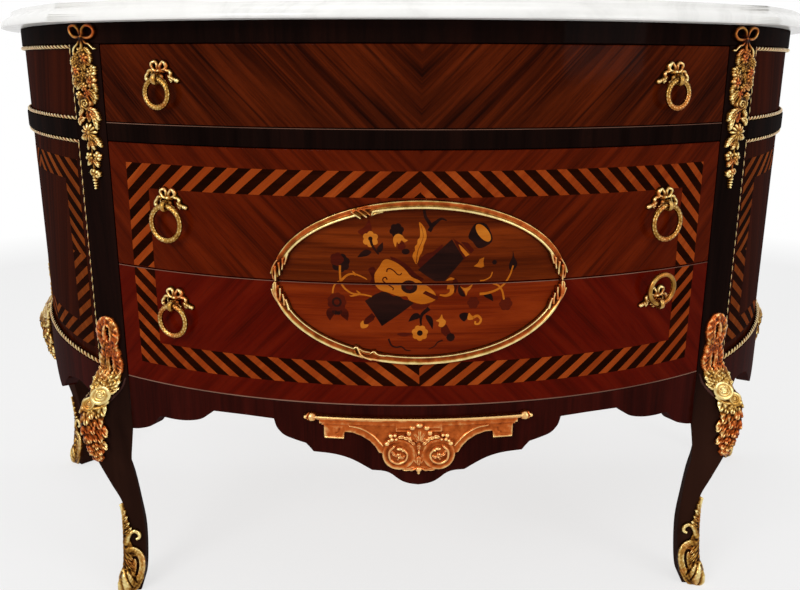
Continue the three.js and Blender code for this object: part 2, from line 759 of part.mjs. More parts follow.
function apronMount() {
  const low = apronMountTop - apronMountHeight;
  const level = (drop) => apronMountTop - drop * apronMountHeight;
  const right = [[apronMountHalf, apronMountTop], [apronMountHalf, apronMountTop - corniceHeight],
    ...apronMountShares.map(([across, drop]) => [across * apronMountHalf, level(drop)])];
  const left = right.slice(0, -1).reverse().map(([x, z]) => [-x, z]);
  const plate = onBow(drawn([...right, ...left]), apronMountHalf, seatGap, apronMountThickness, low, apronMountTop);
  const corniceLow = apronMountTop - corniceHeight;
  const angle = Math.asin(apronMountHalf / frontRadius);
  const cornice = bent(onFront, spread(-angle, angle, mountSteps), () => {
    return rectangle(seatGap, corniceThickness, corniceLow, apronMountTop);
  });
  const finials = [-1, 1].map((side) => {
    const tip = side * finialReach;
    const root = side * (apronMountHalf - finialRadius);
    const level = apronMountTop - corniceHeight / 2;
    return bar([root, frontDepthAt(root, corniceThickness / 2), level],
      [tip, frontDepthAt(tip, corniceThickness / 2), level], corniceHeight / 2, finialRadius / 2);
  });
  const rosettes = [-1, 1].map((side) => {
    const circle = new THREE.Shape().absarc(side * rosetteX, apronMountTop - rosetteDrop, rosetteRadius, 0, 2 * Math.PI);
    return onBow(circle, rosetteX + rosetteRadius, seatGap, rosetteThickness, low, apronMountTop);
  });
  const disc = new THREE.Shape().absarc(0, apronMountTop - palmetteDrop, palmetteRadius, 0, 2 * Math.PI);
  const palmette = onBow(disc, palmetteRadius, seatGap, rosetteThickness, low, apronMountTop);
  return join(plate, cornice, ...finials, ...rosettes, palmette);
}

// Section of the oval frame: how far in and how far out, shares of its width and of its thickness
const ovalSectionShares = [[0, 0], [0, 0.35], [0.2, 0.62], [0.42, 0.62], [0.5, 1], [0.85, 1], [1, 0.5], [1, 0]];

// Half of the oval frame, on the drawer above the seam or on the one below it
function ovalFrame(side) {
  const edge = Math.asin(seamGap / ovalHalfHeight);
  return loft(spread(edge, Math.PI - edge, frontSteps).map((turn) => ovalSectionShares.map(([inset, out]) => {
    const x = Math.cos(turn) * (ovalHalfWidth - inset * ovalFrameWidth);
    const z = seamLevel + side * Math.sin(turn) * (ovalHalfHeight - inset * ovalFrameWidth);
    const offset = THREE.MathUtils.lerp(seatGap, ovalFrameThickness, out);
    return [...onFront(Math.asin(x / (frontRadius + offset)), offset), z];
  })));
}

add('apron_mount', apronMount(), copperGilt);
add('oval_frame_upper', ovalFrame(1), gilt);
add('oval_frame_lower', ovalFrame(-1), gilt);

// Drawers: a bowed front on a box of plain boards

function drawer(name, carrier, low, high) {
  const end = Math.asin((drawerOpeningHalf - drawerGap) / frontRadius);
  const front = bent(onFront, spread(-end, end, frontSteps), () => rectangle(-frontThickness, 0, low, high));
  add(`${name}_front`, front, veneer);
  const sideLow = carrier + seatGap;
  const sideHigh = high - drawerHeadroom;
  const inner = drawerSideX - drawerBoard;
  const meets = (x) => frontDepthAt(x, -frontThickness - seatGap);
  const side = prism([[inner, meets(inner)], [drawerSideX, meets(drawerSideX)], [drawerSideX, drawerLength],
    [inner, drawerLength]], sideLow, sideHigh);
  add(`${name}_side_right`, side, plainWood);
  add(`${name}_side_left`, mirrored(side), plainWood);
  const half = inner - seatGap;
  const rear = drawerLength - drawerBoard;
  const angle = Math.asin(half / (frontRadius - frontThickness - seatGap));
  const bowed = spread(-angle, angle, frontSteps).map((turn) => onFront(turn, -frontThickness - seatGap));
  const bottomLow = sideLow + drawerBottomRise;
  const bottom = prism([...bowed, [half, rear - seatGap], [-half, rear - seatGap]], bottomLow,
    bottomLow + drawerBottomBoard);
  add(`${name}_bottom`, bottom, plainWood);
  add(`${name}_back`, box([-half, half], [rear, drawerLength], [bottomLow, sideHigh]), plainWood);
}

drawer('drawer_top', waistHigh, waistHigh + drawerGap, friezeLow - drawerGap);
drawer('drawer_middle', seamLevel, seamLevel + seamGap, waistLow - drawerGap);
drawer('drawer_bottom', apronTop, apronTop + drawerGap, seamLevel - seamGap);

// Pulls: a bow with two tails on a boss, an eye, and the ring that hangs in the eye

function pullPlate(inward) {
  const y = -bowStrand / 2;
  const knot = [0, y, knotRise];
  const loops = [-1, 1].map((side) => {
    return closed(new THREE.TorusGeometry(bowLoop / 2, bowStrand / 2, 4, 7))
      .rotateX(Math.PI / 2)
      .translate(side * bowSpread, y, bowRise);
  });
  const ties = [-1, 1].map((side) => bar(knot, [side * bowSpread / 2, y, bowRise - bowLoop / 2], bowStrand / 2,
    bowStrand / 2));
  const longTail = bar(knot, [inward * longTailX, y, -longTailDrop], bowStrand / 2, bowStrand / 2);
  const shortTail = bar(knot, [-inward * shortTailX, y, -shortTailDrop], bowStrand / 2, bowStrand / 2);
  const boss = bar([0, 0, 0], [0, -bossThickness, 0], bossDiameter / 2, bossDiameter / 2, 7);
  const knotBall = ball(knot, [bowStrand, bowStrand / 2, bowStrand], 5, 4);
  const eyeRadius = ringWire / 2 + ringBoreGap + eyeWall;
  const eye = ball([0, -ringStandOff, 0], [ringWire / 2, eyeRadius, eyeRadius], 7, 5);
  const neck = bar([0, -bossThickness / 2, 0], [0, ringWire / 2 + eyeWall / 2 - ringStandOff, 0], ringWire / 2, eyeWall);
  const bore = bar([-ringWire, -ringStandOff, 0], [ringWire, -ringStandOff, 0], ringWire / 2 + ringBoreGap,
    ringWire / 2 + ringBoreGap, 8);
  const behind = box([-longTailX * 2, longTailX * 2], [0, overrun], [-longTailX * 2, longTailX * 2]);
  return cut(join(boss, knotBall, ...loops, ...ties, longTail, shortTail, neck, eye), bore, behind);
}

function pullRing(diameter) {
  const radius = (diameter - ringWire) / 2;
  return closed(new THREE.TorusGeometry(radius, ringWire / 2, 6, ringSteps))
    .rotateX(Math.PI / 2)
    .translate(0, 0, -radius);
}

function pull(name, side, level, diameter, turnedUp) {
  const angle = side * Math.asin(pullX / frontRadius);
  const place = new THREE.Group();
  const [x, y] = onFront(angle, seatGap);
  place.position.set(x, y, level);
  place.rotation.z = angle;
  add(`pull_plate_${name}`, pullPlate(-side), gilt, place);
  const ring = add(`pull_ring_${name}`, pullRing(diameter), gilt, place);
  ring.position.y = -ringStandOff;
  ring.rotation.x = turnedUp ? Math.PI - restingLean : 0;
  commode.add(place);
}

const pullRows = [
  ['top', friezeLow - topPullDrop, smallRing],
  ['middle', waistLow - middlePullDrop, largeRing],
  ['bottom', seamLevel - bottomPullDrop, lowRing],
];
for (const [row, level, diameter] of pullRows) {
  pull(`${row}_left`, -1, level, diameter, false);
  pull(`${row}_right`, 1, level, diameter, row === 'bottom');
}

// Bring the middle of the marble over the origin
commode.position.y = (marbleOverhang - caseDepth - marbleRearOverhang) / 2;

export default commode;
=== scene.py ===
# Looks of the commode: metres, +Z up, the front towards -Y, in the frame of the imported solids.
import math
import bmesh
import bpy
import numpy as np
from mathutils import Matrix, Vector


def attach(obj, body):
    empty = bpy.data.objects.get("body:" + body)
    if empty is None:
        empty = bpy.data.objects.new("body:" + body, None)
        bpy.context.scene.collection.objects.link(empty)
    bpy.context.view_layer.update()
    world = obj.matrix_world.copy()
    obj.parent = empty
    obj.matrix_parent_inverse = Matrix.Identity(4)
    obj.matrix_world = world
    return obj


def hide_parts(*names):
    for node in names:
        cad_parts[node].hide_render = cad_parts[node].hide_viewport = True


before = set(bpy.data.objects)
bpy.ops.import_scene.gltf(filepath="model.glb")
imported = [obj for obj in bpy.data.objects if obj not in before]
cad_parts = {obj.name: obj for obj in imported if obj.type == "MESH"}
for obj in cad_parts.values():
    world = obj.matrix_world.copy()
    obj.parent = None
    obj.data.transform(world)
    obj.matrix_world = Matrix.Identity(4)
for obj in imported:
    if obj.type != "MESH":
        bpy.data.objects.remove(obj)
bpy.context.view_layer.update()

# Plan of the case
FRONT_RADIUS = 0.802
OPENING_HALF = 0.4316
STILE_ACROSS = 0.0484
STILE_SLANT = 0.0264
SIDE_RADIUS = 0.830
SIDE_SPREAD = 0.2231
CASE_DEPTH = 0.596
STILE_DEPTH = 0.045
MARBLE_OVERHANG = 0.027
MARBLE_REAR_OVERHANG = 0.006
FRIEZE_INSET = 0.003

# Heights of the courses
APRON_TOP = 0.3586
BOTTOM_DRAWER = 0.1741
MIDDLE_DRAWER = 0.1751
WAIST = 0.0254
TOP_DRAWER = 0.1041
FRIEZE = 0.0275
MARBLE_THICKNESS = 0.026
SIDE_PANEL_FOOT = 0.366
SEAM = APRON_TOP + BOTTOM_DRAWER
WAIST_LOW = SEAM + MIDDLE_DRAWER
WAIST_HIGH = WAIST_LOW + WAIST
FRIEZE_LOW = WAIST_HIGH + TOP_DRAWER
MARBLE_LOW = FRIEZE_LOW + FRIEZE

# Boards and gaps
SEAT_GAP = 0.0003
DRAWER_GAP = 0.001
SEAM_GAP = 0.0006
FRONT_THICKNESS = 0.022
RAIL_DEPTH = 0.045
PANEL_RECESS = 0.007
PANEL_THICKNESS = 0.018
APRON_THICKNESS = 0.022
APRON_DEPTH = 0.1186
SIDE_APRON_DEPTH = 0.097
BEAD = 0.006
ROPE = 0.007

# Legs
KNEE_WIDTH = 0.070
REAR_FOOT_INWARDS = 0.030
REAR_FOOT_BACK = 0.016
REAR_KNEE_REACH = 0.011

# Rounding of edges and fineness of the curves
EDGE = 0.0009
ARRIS = 0.0022
MARBLE_ROUNDING = 0.0006
FRIEZE_ROUNDING = 0.0014
RAIL_ROUNDING = 0.0018
FRONT_ROUNDING = 0.0012
CURVE_STEP = 0.008
INLAY_STEP = 0.008
STEP_SLACK = 1e-6
SMOOTH_ANGLE = math.radians(32)
BEVEL_ANGLE = math.radians(28)

# Angles and places that follow
SHIFT = (MARBLE_OVERHANG - CASE_DEPTH - MARBLE_REAR_OVERHANG) / 2
FRONT_ANGLE = math.asin(OPENING_HALF / FRONT_RADIUS)
SIDE_FRONT_X = OPENING_HALF + STILE_ACROSS
SIDE_FRONT_DEPTH = FRONT_RADIUS * (1 - math.cos(FRONT_ANGLE)) + STILE_SLANT
CHORD = (SIDE_SPREAD, CASE_DEPTH - SIDE_FRONT_DEPTH)
CHORD_LENGTH = math.hypot(*CHORD)
SIDE_BOW = math.sqrt(SIDE_RADIUS ** 2 - CHORD_LENGTH ** 2 / 4)
SIDE_X = SIDE_FRONT_X + CHORD[0] / 2 - SIDE_BOW * CHORD[1] / CHORD_LENGTH
SIDE_Y = SIDE_FRONT_DEPTH + CHORD[1] / 2 + SIDE_BOW * CHORD[0] / CHORD_LENGTH
SIDE_START = math.asin((SIDE_FRONT_X - SIDE_X) / SIDE_RADIUS)
SIDE_END = math.acos((SIDE_Y - CASE_DEPTH) / SIDE_RADIUS)


# Places on the plan, in metres, with the front of the bow at y = SHIFT

def on_front(angle, offset):
    reach = FRONT_RADIUS + offset
    return np.sin(angle) * reach, SHIFT + FRONT_RADIUS - np.cos(angle) * reach


def on_side(angle, offset):
    reach = SIDE_RADIUS + offset
    return SIDE_X + np.sin(angle) * reach, SHIFT + SIDE_Y - np.cos(angle) * reach


def steps_between(start, end, longest):
    count = max(1, math.ceil(abs(end - start) / longest - STEP_SLACK))
    return np.linspace(start, end, count + 1)


def smooth_table(table, places):
    """A table's columns read off a natural smooth curve; its first column is the place."""
    rows = np.array(table, float)
    t, values = rows[:, 0], rows[:, 1:]
    slopes = np.zeros_like(values)
    slopes[1:-1] = (values[2:] - values[:-2]) / (t[2:] - t[:-2])[:, None]
    first, last = t[1] - t[0], t[-1] - t[-2]
    slopes[0] = (3 * (values[1] - values[0]) / first - slopes[1]) / 2
    slopes[-1] = (3 * (values[-1] - values[-2]) / last - slopes[-2]) / 2
    places = np.asarray(places, float)
    at = np.clip(np.searchsorted(t, places, side="right") - 1, 0, len(t) - 2)
    width = (t[at + 1] - t[at])[:, None]
    s = (places - t[at])[:, None] / width
    return ((2 * s ** 3 - 3 * s ** 2 + 1) * values[at] + (s ** 3 - 2 * s ** 2 + s) * width * slopes[at]
            + (3 * s ** 2 - 2 * s ** 3) * values[at + 1] + (s ** 3 - s ** 2) * width * slopes[at + 1])


# Meshes

def make_piece(name, points, faces, material, body, replaces=(), coordinates=None, bevel=EDGE):
    mesh = bpy.data.meshes.new(name)
    mesh.from_pydata([tuple(map(float, p)) for p in points], [], [tuple(map(int, f)) for f in faces])
    piece = bpy.data.objects.new(name, mesh)
    bpy.context.collection.objects.link(piece)
    if coordinates is not None:
        layer = mesh.uv_layers.new(name="grain")
        layer.data.foreach_set("uv", np.asarray(coordinates, np.float32).ravel())
    mesh.materials.append(material)
    finish_mesh(piece, bevel)
    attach(piece, body)
    if replaces:
        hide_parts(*replaces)
    return piece


def finish_mesh(piece, bevel):
    mesh = piece.data
    mesh.validate()
    mesh.polygons.foreach_set("use_smooth", [True] * len(mesh.polygons))
    mesh.set_sharp_from_angle(angle=SMOOTH_ANGLE)
    if bevel:
        modifier = piece.modifiers.new("Edges", "BEVEL")
        modifier.width = bevel
        modifier.segments = 3
        modifier.limit_method = "ANGLE"
        modifier.angle_limit = BEVEL_ANGLE
        modifier.harden_normals = True
    mesh.update()


def ring_faces(rings, count):
    """Faces between rings of points, one ring after the other, with a cap at each end."""
    faces = []
    for ring in range(rings - 1):
        for i in range(count):
            a = ring * count + i
            b = ring * count + (i + 1) % count
            faces.append((a, b, b + count, a + count))
    faces.append(tuple(range(count - 1, -1, -1)))
    faces.append(tuple(range((rings - 1) * count, rings * count)))
    return faces


def turn_outwards(points, faces):
    """The faces turned over if together they face in."""
    p = np.asarray(points, float)
    total = 0.0
    for face in faces:
        for i in range(1, len(face) - 1):
            total += np.dot(p[face[0]], np.cross(p[face[i]], p[face[i + 1]]))
    return faces if total > 0 else [tuple(reversed(face)) for face in faces]


def loft(name, rings, material, body, replaces, bevel):
    """A solid through rings of points."""
    points = [p for ring in rings for p in ring]
    faces = turn_outwards(points, ring_faces(len(rings), len(rings[0])))
    return make_piece(name, points, faces, material, body, replaces, bevel=bevel)


# A board bent round an arc of the plan. section(place) is a closed line of (offset, height); grain
# turns a place along the arc and a height into places along and across the grain

def bent_board(name, on_arc, radius, places, section, material, body, replaces, grain=None,
               bevel=EDGE, side=1):
    rings, lines = [], []
    for place in places:
        line = section(place)
        spots = [(*on_arc(place / radius, offset), height) for offset, height in line]
        rings.append([(side * x, y, z) for x, y, z in spots])
        lines.append([(place, height + offset) for offset, height in line])
    count = len(rings[0])
    points = [p for ring in rings for p in ring]
    flat = [p for line in lines for p in line]
    faces = turn_outwards(points, ring_faces(len(rings), count))
    coordinates = None if grain is None else [grain(*flat[corner]) for face in faces for corner in face]
    return make_piece(name, points, faces, material, body, replaces, coordinates, bevel)


def rectangle(inner, outer, low, high):
    return lambda place: [(inner, low), (outer, low), (outer, high), (inner, high)]


# Materials

def colour(red, green, blue):
    """A colour given as it looks on a screen, 0 to 255."""
    def linear(value):
        v = value / 255
        return v / 12.92 if v <= 0.04045 else ((v + 0.055) / 1.055) ** 2.4
    return (linear(red), linear(green), linear(blue), 1)


# Sockets of a mix node that carry colours
MIX_COLOUR_A = 6
MIX_COLOUR_B = 7
MIX_COLOUR = 2


class Nodes:
    """A material's nodes, built up in order."""

    def __init__(self, name):
        self.material = bpy.data.materials.new(name)
        self.material.use_nodes = True
        self.tree = self.material.node_tree
        self.shader = next(n for n in self.tree.nodes if n.type == "BSDF_PRINCIPLED")

    def add(self, kind, **settings):
        node = self.tree.nodes.new(kind)
        for key, value in settings.items():
            setattr(node, key, value)
        return node

    def put(self, socket, value):
        if isinstance(value, bpy.types.NodeSocket):
            self.tree.links.new(value, socket)
        else:
            socket.default_value = value

    def set(self, **values):
        for key, value in values.items():
            self.put(self.shader.inputs[key.replace("_", " ")], value)

    def grain(self, scale):
        place = self.add("ShaderNodeUVMap", uv_map="grain")
        return self.mapped(place.outputs["UV"], scale)

    def object_place(self, scale):
        place = self.add("ShaderNodeTexCoord")
        return self.mapped(place.outputs["Object"], scale)

    def even_place(self, scale):
        return self.object_place((scale, scale, scale))

    def mapped(self, source, scale):
        node = self.add("ShaderNodeMapping")
        self.put(node.inputs["Vector"], source)
        node.inputs["Scale"].default_value = scale
        return node.outputs["Vector"]

    def noise(self, vector, scale=1, detail=4, roughness=0.55, distortion=0.0):
        node = self.add("ShaderNodeTexNoise")
        self.put(node.inputs["Vector"], vector)
        node.inputs["Scale"].default_value = scale
        node.inputs["Detail"].default_value = detail
        node.inputs["Roughness"].default_value = roughness
        node.inputs["Distortion"].default_value = distortion
        return node.outputs["Fac"]

    def ramp(self, value, stops):
        node = self.add("ShaderNodeValToRGB")
        self.put(node.inputs["Fac"], value)
        elements = node.color_ramp.elements
        while len(elements) < len(stops):
            elements.new(1)
        for element, (place, shade) in zip(elements, stops):
            element.position = place
            element.color = shade
        return node.outputs["Color"]

    def grey(self, value, low_at, low, high_at, high):
        node = self.add("ShaderNodeMapRange")
        self.put(node.inputs["Value"], value)
        for key, number in (("From Min", low_at), ("From Max", high_at), ("To Min", low), ("To Max", high)):
            node.inputs[key].default_value = number
        return node.outputs["Result"]

    def mix(self, share, first, second):
        node = self.add("ShaderNodeMix", data_type="RGBA")
        self.put(node.inputs["Factor"], share)
        self.put(node.inputs[MIX_COLOUR_A], first)
        self.put(node.inputs[MIX_COLOUR_B], second)
        return node.outputs[MIX_COLOUR]

    def maths(self, operation, *values):
        node = self.add("ShaderNodeMath", operation=operation)
        for socket, value in zip(node.inputs, values):
            self.put(socket, value)
        return node.outputs[0]

    def bump(self, height, distance, strength, normal=None):
        node = self.add("ShaderNodeBump")
        self.put(node.inputs["Height"], height)
        node.inputs["Distance"].default_value = distance
        node.inputs["Strength"].default_value = strength
        if normal is not None:
            self.put(node.inputs["Normal"], normal)
        return node.outputs["Normal"]


LACQUER_COAT = 0.035

# How often each figure of the wood repeats in a metre, along the grain and across it
FINE_GRAIN = (9, 520)
BROAD_FIGURE = (2.2, 26)
CLOUDS = (3, 9)
PORES = (60, 1500)
STREAKS = (3.5, 120)
GLOSS_PATCHES = 30
LACQUER_WAVES = 14

# Depths of the woods' pores and of the lacquer's waves, and the heights between which a leg's foot fades
PORE_DEPTH = 0.00004
LACQUER_WAVE_DEPTH = 0.0012
FOOT_TONE_FULL = 0.22
FOOT_TONE_END = 0.40


def lacquered_wood(name, dark, middle, light, gloss, figure=1.0, mapped="grain", coat=LACQUER_COAT,
                   foot=None):
    """Lacquered wood: fine pores and streaks along the grain, broad darker figure across it."""
    n = Nodes(name)
    dark, middle, light = colour(*dark), colour(*middle), colour(*light)

    def place(repeats):
        along, across = repeats
        return n.grain((along, across, 1)) if mapped == "grain" else n.object_place((across, across, along))

    streak_value = n.noise(place(STREAKS), detail=2, distortion=0.3)
    fine_value = n.noise(place(FINE_GRAIN), detail=3, roughness=0.6)
    broad_value = n.noise(place(BROAD_FIGURE), detail=5, roughness=0.62, distortion=0.6)
    cloud_value = n.noise(place(CLOUDS), detail=2)
    pore_value = n.noise(place(PORES), detail=1)
    base = n.ramp(broad_value, [(0.30, dark), (0.48, middle), (0.68, light)])
    mixed = n.mix(n.grey(fine_value, 0.35, 0.0, 0.75, 0.5 * figure), base, light)
    mixed = n.mix(n.grey(cloud_value, 0.45, 0.0, 0.75, 0.55 * figure), mixed, dark)
    mixed = n.mix(n.grey(streak_value, 0.55, 0.0, 0.70, 0.60 * figure), mixed, dark)
    mixed = n.mix(n.grey(streak_value, 0.45, 0.0, 0.30, 0.45 * figure), mixed, light)
    mixed = n.mix(n.grey(pore_value, 0.62, 0.0, 0.75, 0.55), mixed, dark)
    patches = n.noise(n.even_place(GLOSS_PATCHES), detail=3)
    roughness = n.grey(patches, 0.3, gloss * 0.8, 0.7, gloss * 1.35)
    normal = n.bump(pore_value, PORE_DEPTH, 0.35)
    normal = n.bump(n.noise(n.even_place(LACQUER_WAVES), detail=1), LACQUER_WAVE_DEPTH, 0.12, normal)
    if foot is not None:
        height = n.add("ShaderNodeSeparateXYZ")
        n.put(height.inputs[0], n.add("ShaderNodeTexCoord").outputs["Object"])
        low = n.grey(height.outputs["Z"], FOOT_TONE_FULL, 1.0, FOOT_TONE_END, 0.0)
        share = n.maths("MULTIPLY", low, n.grey(broad_value, 0.3, 0.4, 0.7, 1.0))
        mixed = n.mix(share, mixed, colour(*foot))
    n.set(Base_Color=mixed, Roughness=roughness, Normal=normal, Specular_IOR_Level=0.0, Coat_Weight=coat,
          Coat_Roughness=gloss * 0.6)
    return n.material


MARBLE_GRAIN_DEPTH = 0.00003
MARBLE_GLOW_DEPTH = 0.004
VEIN_STOPS = [(0.0, colour(233, 232, 229)), (0.03, colour(240, 239, 236)), (0.1, colour(245, 244, 241))]


def marble_stone():
    n = Nodes("marble_white")
    place = n.even_place(1)
    warp = n.noise(place, scale=3.2, detail=6, roughness=0.6, distortion=1.4)
    vein = n.maths("ABSOLUTE", n.maths("SUBTRACT", warp, 0.5))
    veins = n.ramp(vein, VEIN_STOPS)
    cloud = n.noise(place, scale=9, detail=4)
    stone = n.mix(n.grey(cloud, 0.4, 0.0, 0.8, 0.3), veins, colour(238, 236, 231))
    rough = n.grey(n.noise(place, scale=60, detail=2), 0.3, 0.16, 0.7, 0.26)
    n.set(Base_Color=stone, Roughness=rough, Specular_IOR_Level=0.4,
          Normal=n.bump(n.noise(place, scale=400, detail=2), MARBLE_GRAIN_DEPTH, 0.2))
    n.set(Subsurface_Weight=0.08, Subsurface_Radius=[MARBLE_GLOW_DEPTH] * 3)
    return n.material


BOARD_GRAIN_DEPTH = 0.0001
BOARD_STOPS = [(0.3, colour(120, 84, 52)), (0.5, colour(160, 121, 80)), (0.7, colour(184, 147, 103))]


def plain_board():
    n = Nodes("board_wood")
    grain = n.noise(n.object_place((3, 60, 60)), detail=5, roughness=0.6, distortion=0.5)
    fine = n.noise(n.object_place((20, 700, 700)), detail=2)
    base = n.ramp(grain, BOARD_STOPS)
    tone = n.mix(n.grey(fine, 0.5, 0.0, 0.75, 0.4), base, colour(110, 75, 44))
    n.set(Base_Color=tone, Roughness=n.grey(grain, 0.3, 0.55, 0.7, 0.75), Specular_IOR_Level=0.3,
          Normal=n.bump(fine, BOARD_GRAIN_DEPTH, 0.4))
    return n.material


GILT_STOPS = [
    (0.08, colour(34, 16, 5)), (0.32, colour(108, 68, 24)), (0.56, colour(172, 128, 58)),
    (0.92, colour(240, 218, 150)),
]
COPPER_STOPS = [
    (0.08, colour(46, 16, 5)), (0.32, colour(126, 54, 18)), (0.6, colour(188, 92, 38)),
    (0.94, colour(238, 194, 126)),
]
METAL_SPECK_DEPTH = 0.00012
METAL_PATCH_DEPTH = 0.0006


def gilt_metal():
    """Gilt metal: darker in its hollows, where patina and painted shade lie, brighter where it stands out,
    where wear and painted highlights lie, and coppery where the gilding is thin.
    """
    n = Nodes("gilt")
    light_and_wear = n.add("ShaderNodeAttribute", attribute_name="light_and_wear").outputs["Fac"]
    copper = n.add("ShaderNodeAttribute", attribute_name="copper").outputs["Fac"]
    patch = n.noise(n.even_place(90), detail=5, roughness=0.6)
    thin = n.noise(n.even_place(38), detail=3)
    speck = n.noise(n.even_place(900), detail=2)
    level = n.maths("ADD", light_and_wear, n.grey(patch, 0.3, -0.14, 0.7, 0.14))
    share = n.maths("ADD", copper, n.grey(thin, 0.35, -0.28, 0.65, 0.28))
    share = n.grey(share, 0.25, 0.0, 0.75, 1.0)
    tone = n.mix(share, n.ramp(level, GILT_STOPS), n.ramp(level, COPPER_STOPS))
    tone = n.mix(n.grey(speck, 0.55, 0.0, 0.8, 0.35), tone, GILT_STOPS[0][1])
    rough = n.grey(level, 0.1, 0.50, 0.8, 0.22)
    normal = n.bump(speck, METAL_SPECK_DEPTH, 0.35)
    normal = n.bump(patch, METAL_PATCH_DEPTH, 0.25, normal)
    n.set(Base_Color=tone, Roughness=rough, Metallic=1.0, Normal=normal)
    return n.material


# Lacquered woods: dark, middle and light figure as they look on a screen, then the gloss
black_wood = lacquered_wood("black_wood", (8, 3, 2), (16, 7, 5), (27, 11, 7), 0.10,
                            figure=0.6, mapped="object", coat=0.018)
leg_wood = lacquered_wood("leg_wood", (9, 4, 3), (18, 8, 6), (30, 13, 9), 0.12,
                          figure=0.6, mapped="object", coat=0.02, foot=(48, 26, 18))
veneer = lacquered_wood("drawer_veneer", (40, 6, 0), (74, 16, 1), (102, 30, 5), 0.15)
top_veneer = lacquered_wood("top_drawer_veneer", (16, 2, 0), (47, 9, 0), (90, 30, 6), 0.15,
                            figure=1.35)
low_veneer = lacquered_wood("low_drawer_veneer", (52, 5, 0), (79, 9, 1), (98, 20, 4), 0.15,
                            figure=0.8)
# The sides' field wood is a darker copy of the front's: the shade on the sides is painted into its colour
side_veneer = lacquered_wood("side_veneer", (20, 5, 2), (42, 12, 5), (68, 23, 8), 0.10,
                             figure=0.8, coat=0.014)
dark_veneer = lacquered_wood("apron_veneer", (26, 5, 3), (43, 9, 5), (60, 14, 8), 0.12,
                             figure=0.7, mapped="object")
stripe_light = lacquered_wood("stripe_light", (112, 38, 8), (138, 52, 12), (160, 70, 22), 0.15,
                              figure=0.6)
stripe_dark = lacquered_wood("stripe_dark", (14, 4, 1), (27, 6, 1), (42, 12, 3), 0.15,
                             figure=0.6, coat=0.012)
# The sides' light stripes are a darker copy of the front's stripe_light: painted shade on the sides
side_stripe = lacquered_wood("side_stripe", (88, 34, 8), (114, 50, 14), (138, 68, 24), 0.12,
                             figure=0.6, coat=0.014)
upper_field = lacquered_wood("upper_oval_field", (52, 12, 1), (80, 25, 4), (120, 46, 10), 0.14,
                             figure=0.85)
lower_field = lacquered_wood("lower_oval_field", (76, 15, 2), (102, 27, 4), (134, 48, 11), 0.14,
                             figure=1.2)
pear_wood = lacquered_wood("inlay_yellow", (136, 66, 10), (176, 92, 18), (196, 116, 36), 0.14,
                           figure=0.5)
ebony_wood = lacquered_wood("inlay_dark", (16, 7, 6), (29, 13, 10), (46, 20, 14), 0.14,
                            figure=0.6)
rose_wood = lacquered_wood("inlay_brown", (44, 10, 5), (66, 16, 7), (90, 26, 9), 0.14,
                           figure=0.7)
# Pale wood for the painted highlights along the drawers' and rail's edges
edge_highlight_paint = lacquered_wood("edge_highlight_paint", (70, 44, 36), (116, 82, 68), (150, 112, 94), 0.2,
                           figure=0.5)
# Paler wood of the knees' rounded edges: their highlight is painted into its colour
shoulder_highlight_wood = lacquered_wood("knee_ridge_highlight", (30, 16, 13), (52, 30, 26), (84, 54, 48), 0.2,
                               figure=0.5, mapped="object")
marble = marble_stone()
board_wood = plain_board()
gilt = gilt_metal()


# Case

FRONT_HALF_LENGTH = FRONT_ANGLE * FRONT_RADIUS
SIDE_FROM = SIDE_START * SIDE_RADIUS
STILE_WIDTH = math.hypot(STILE_ACROSS, STILE_SLANT)
REAR_STILE = SIDE_END - STILE_WIDTH / SIDE_RADIUS
REAR_FROM = REAR_STILE * SIDE_RADIUS


def plan_outline(front_offset, side_offset, back):
    end = math.acos((SIDE_Y - back) / (SIDE_RADIUS + side_offset))
    front = steps_between(0, FRONT_ANGLE, CURVE_STEP / FRONT_RADIUS)
    side = steps_between(SIDE_START, end, CURVE_STEP / SIDE_RADIUS)
    right = [on_front(a, front_offset) for a in front] + [on_side(a, side_offset) for a in side]
    left = [(-x, y) for x, y in right[:0:-1]]
    return left + right


MARBLE_EDGE_SHARES = [
    (0.15, 0), (0.04, 0.03), (0, 0.1), (0, 0.17), (0.02, 0.24), (0.06, 0.32), (0.12, 0.4), (0.2, 0.48),
    (0.3, 0.55), (0.42, 0.61), (0.54, 0.67), (0.62, 0.72), (0.66, 0.77), (0.68, 0.82), (0.68, 0.93),
    (0.7, 0.97), (0.76, 1),
]


def marble_top():
    rings = []
    for lost, gained in MARBLE_EDGE_SHARES:
        offset = MARBLE_OVERHANG - lost * MARBLE_THICKNESS
        back = CASE_DEPTH + MARBLE_REAR_OVERHANG - lost * MARBLE_THICKNESS / 2
        z = MARBLE_LOW + gained * MARBLE_THICKNESS
        rings.append([(x, y, z) for x, y in plan_outline(offset, offset, back)])
    loft("marble_slab", rings, marble, "carcase", ["marble_top"], bevel=MARBLE_ROUNDING)


def top_frame():
    outline = plan_outline(0, -FRIEZE_INSET, CASE_DEPTH)
    rings = [[(x, y, z) for x, y in outline] for z in (FRIEZE_LOW, MARBLE_LOW)]
    loft("frieze", rings, black_wood, "carcase", ["top_frame"], bevel=FRIEZE_ROUNDING)


def mid_rail():
    half = FRONT_HALF_LENGTH - SEAT_GAP
    places = steps_between(-half, half, CURVE_STEP)
    bent_board("rail_between_drawers", on_front, FRONT_RADIUS, places,
               rectangle(-RAIL_DEPTH, 0, WAIST_LOW, WAIST_HIGH), black_wood, "carcase", ["mid_rail"],
               bevel=RAIL_ROUNDING)


# How far along and across the grain the veneers of the fronts and of the sides are taken
FRONT_GRAIN_SHIFTS = (0, 1.0)
SIDE_GRAIN_SHIFTS = (2.0, 3.0)


def matched(place, height, shifts=FRONT_GRAIN_SHIFTS):
    """Places along and across a veneer that is matched about the middle line and about the seam."""
    p = abs(place)
    q = abs(height - SEAM)
    return (p + q) / math.sqrt(2) + shifts[0], (p - q) / math.sqrt(2) + shifts[1]


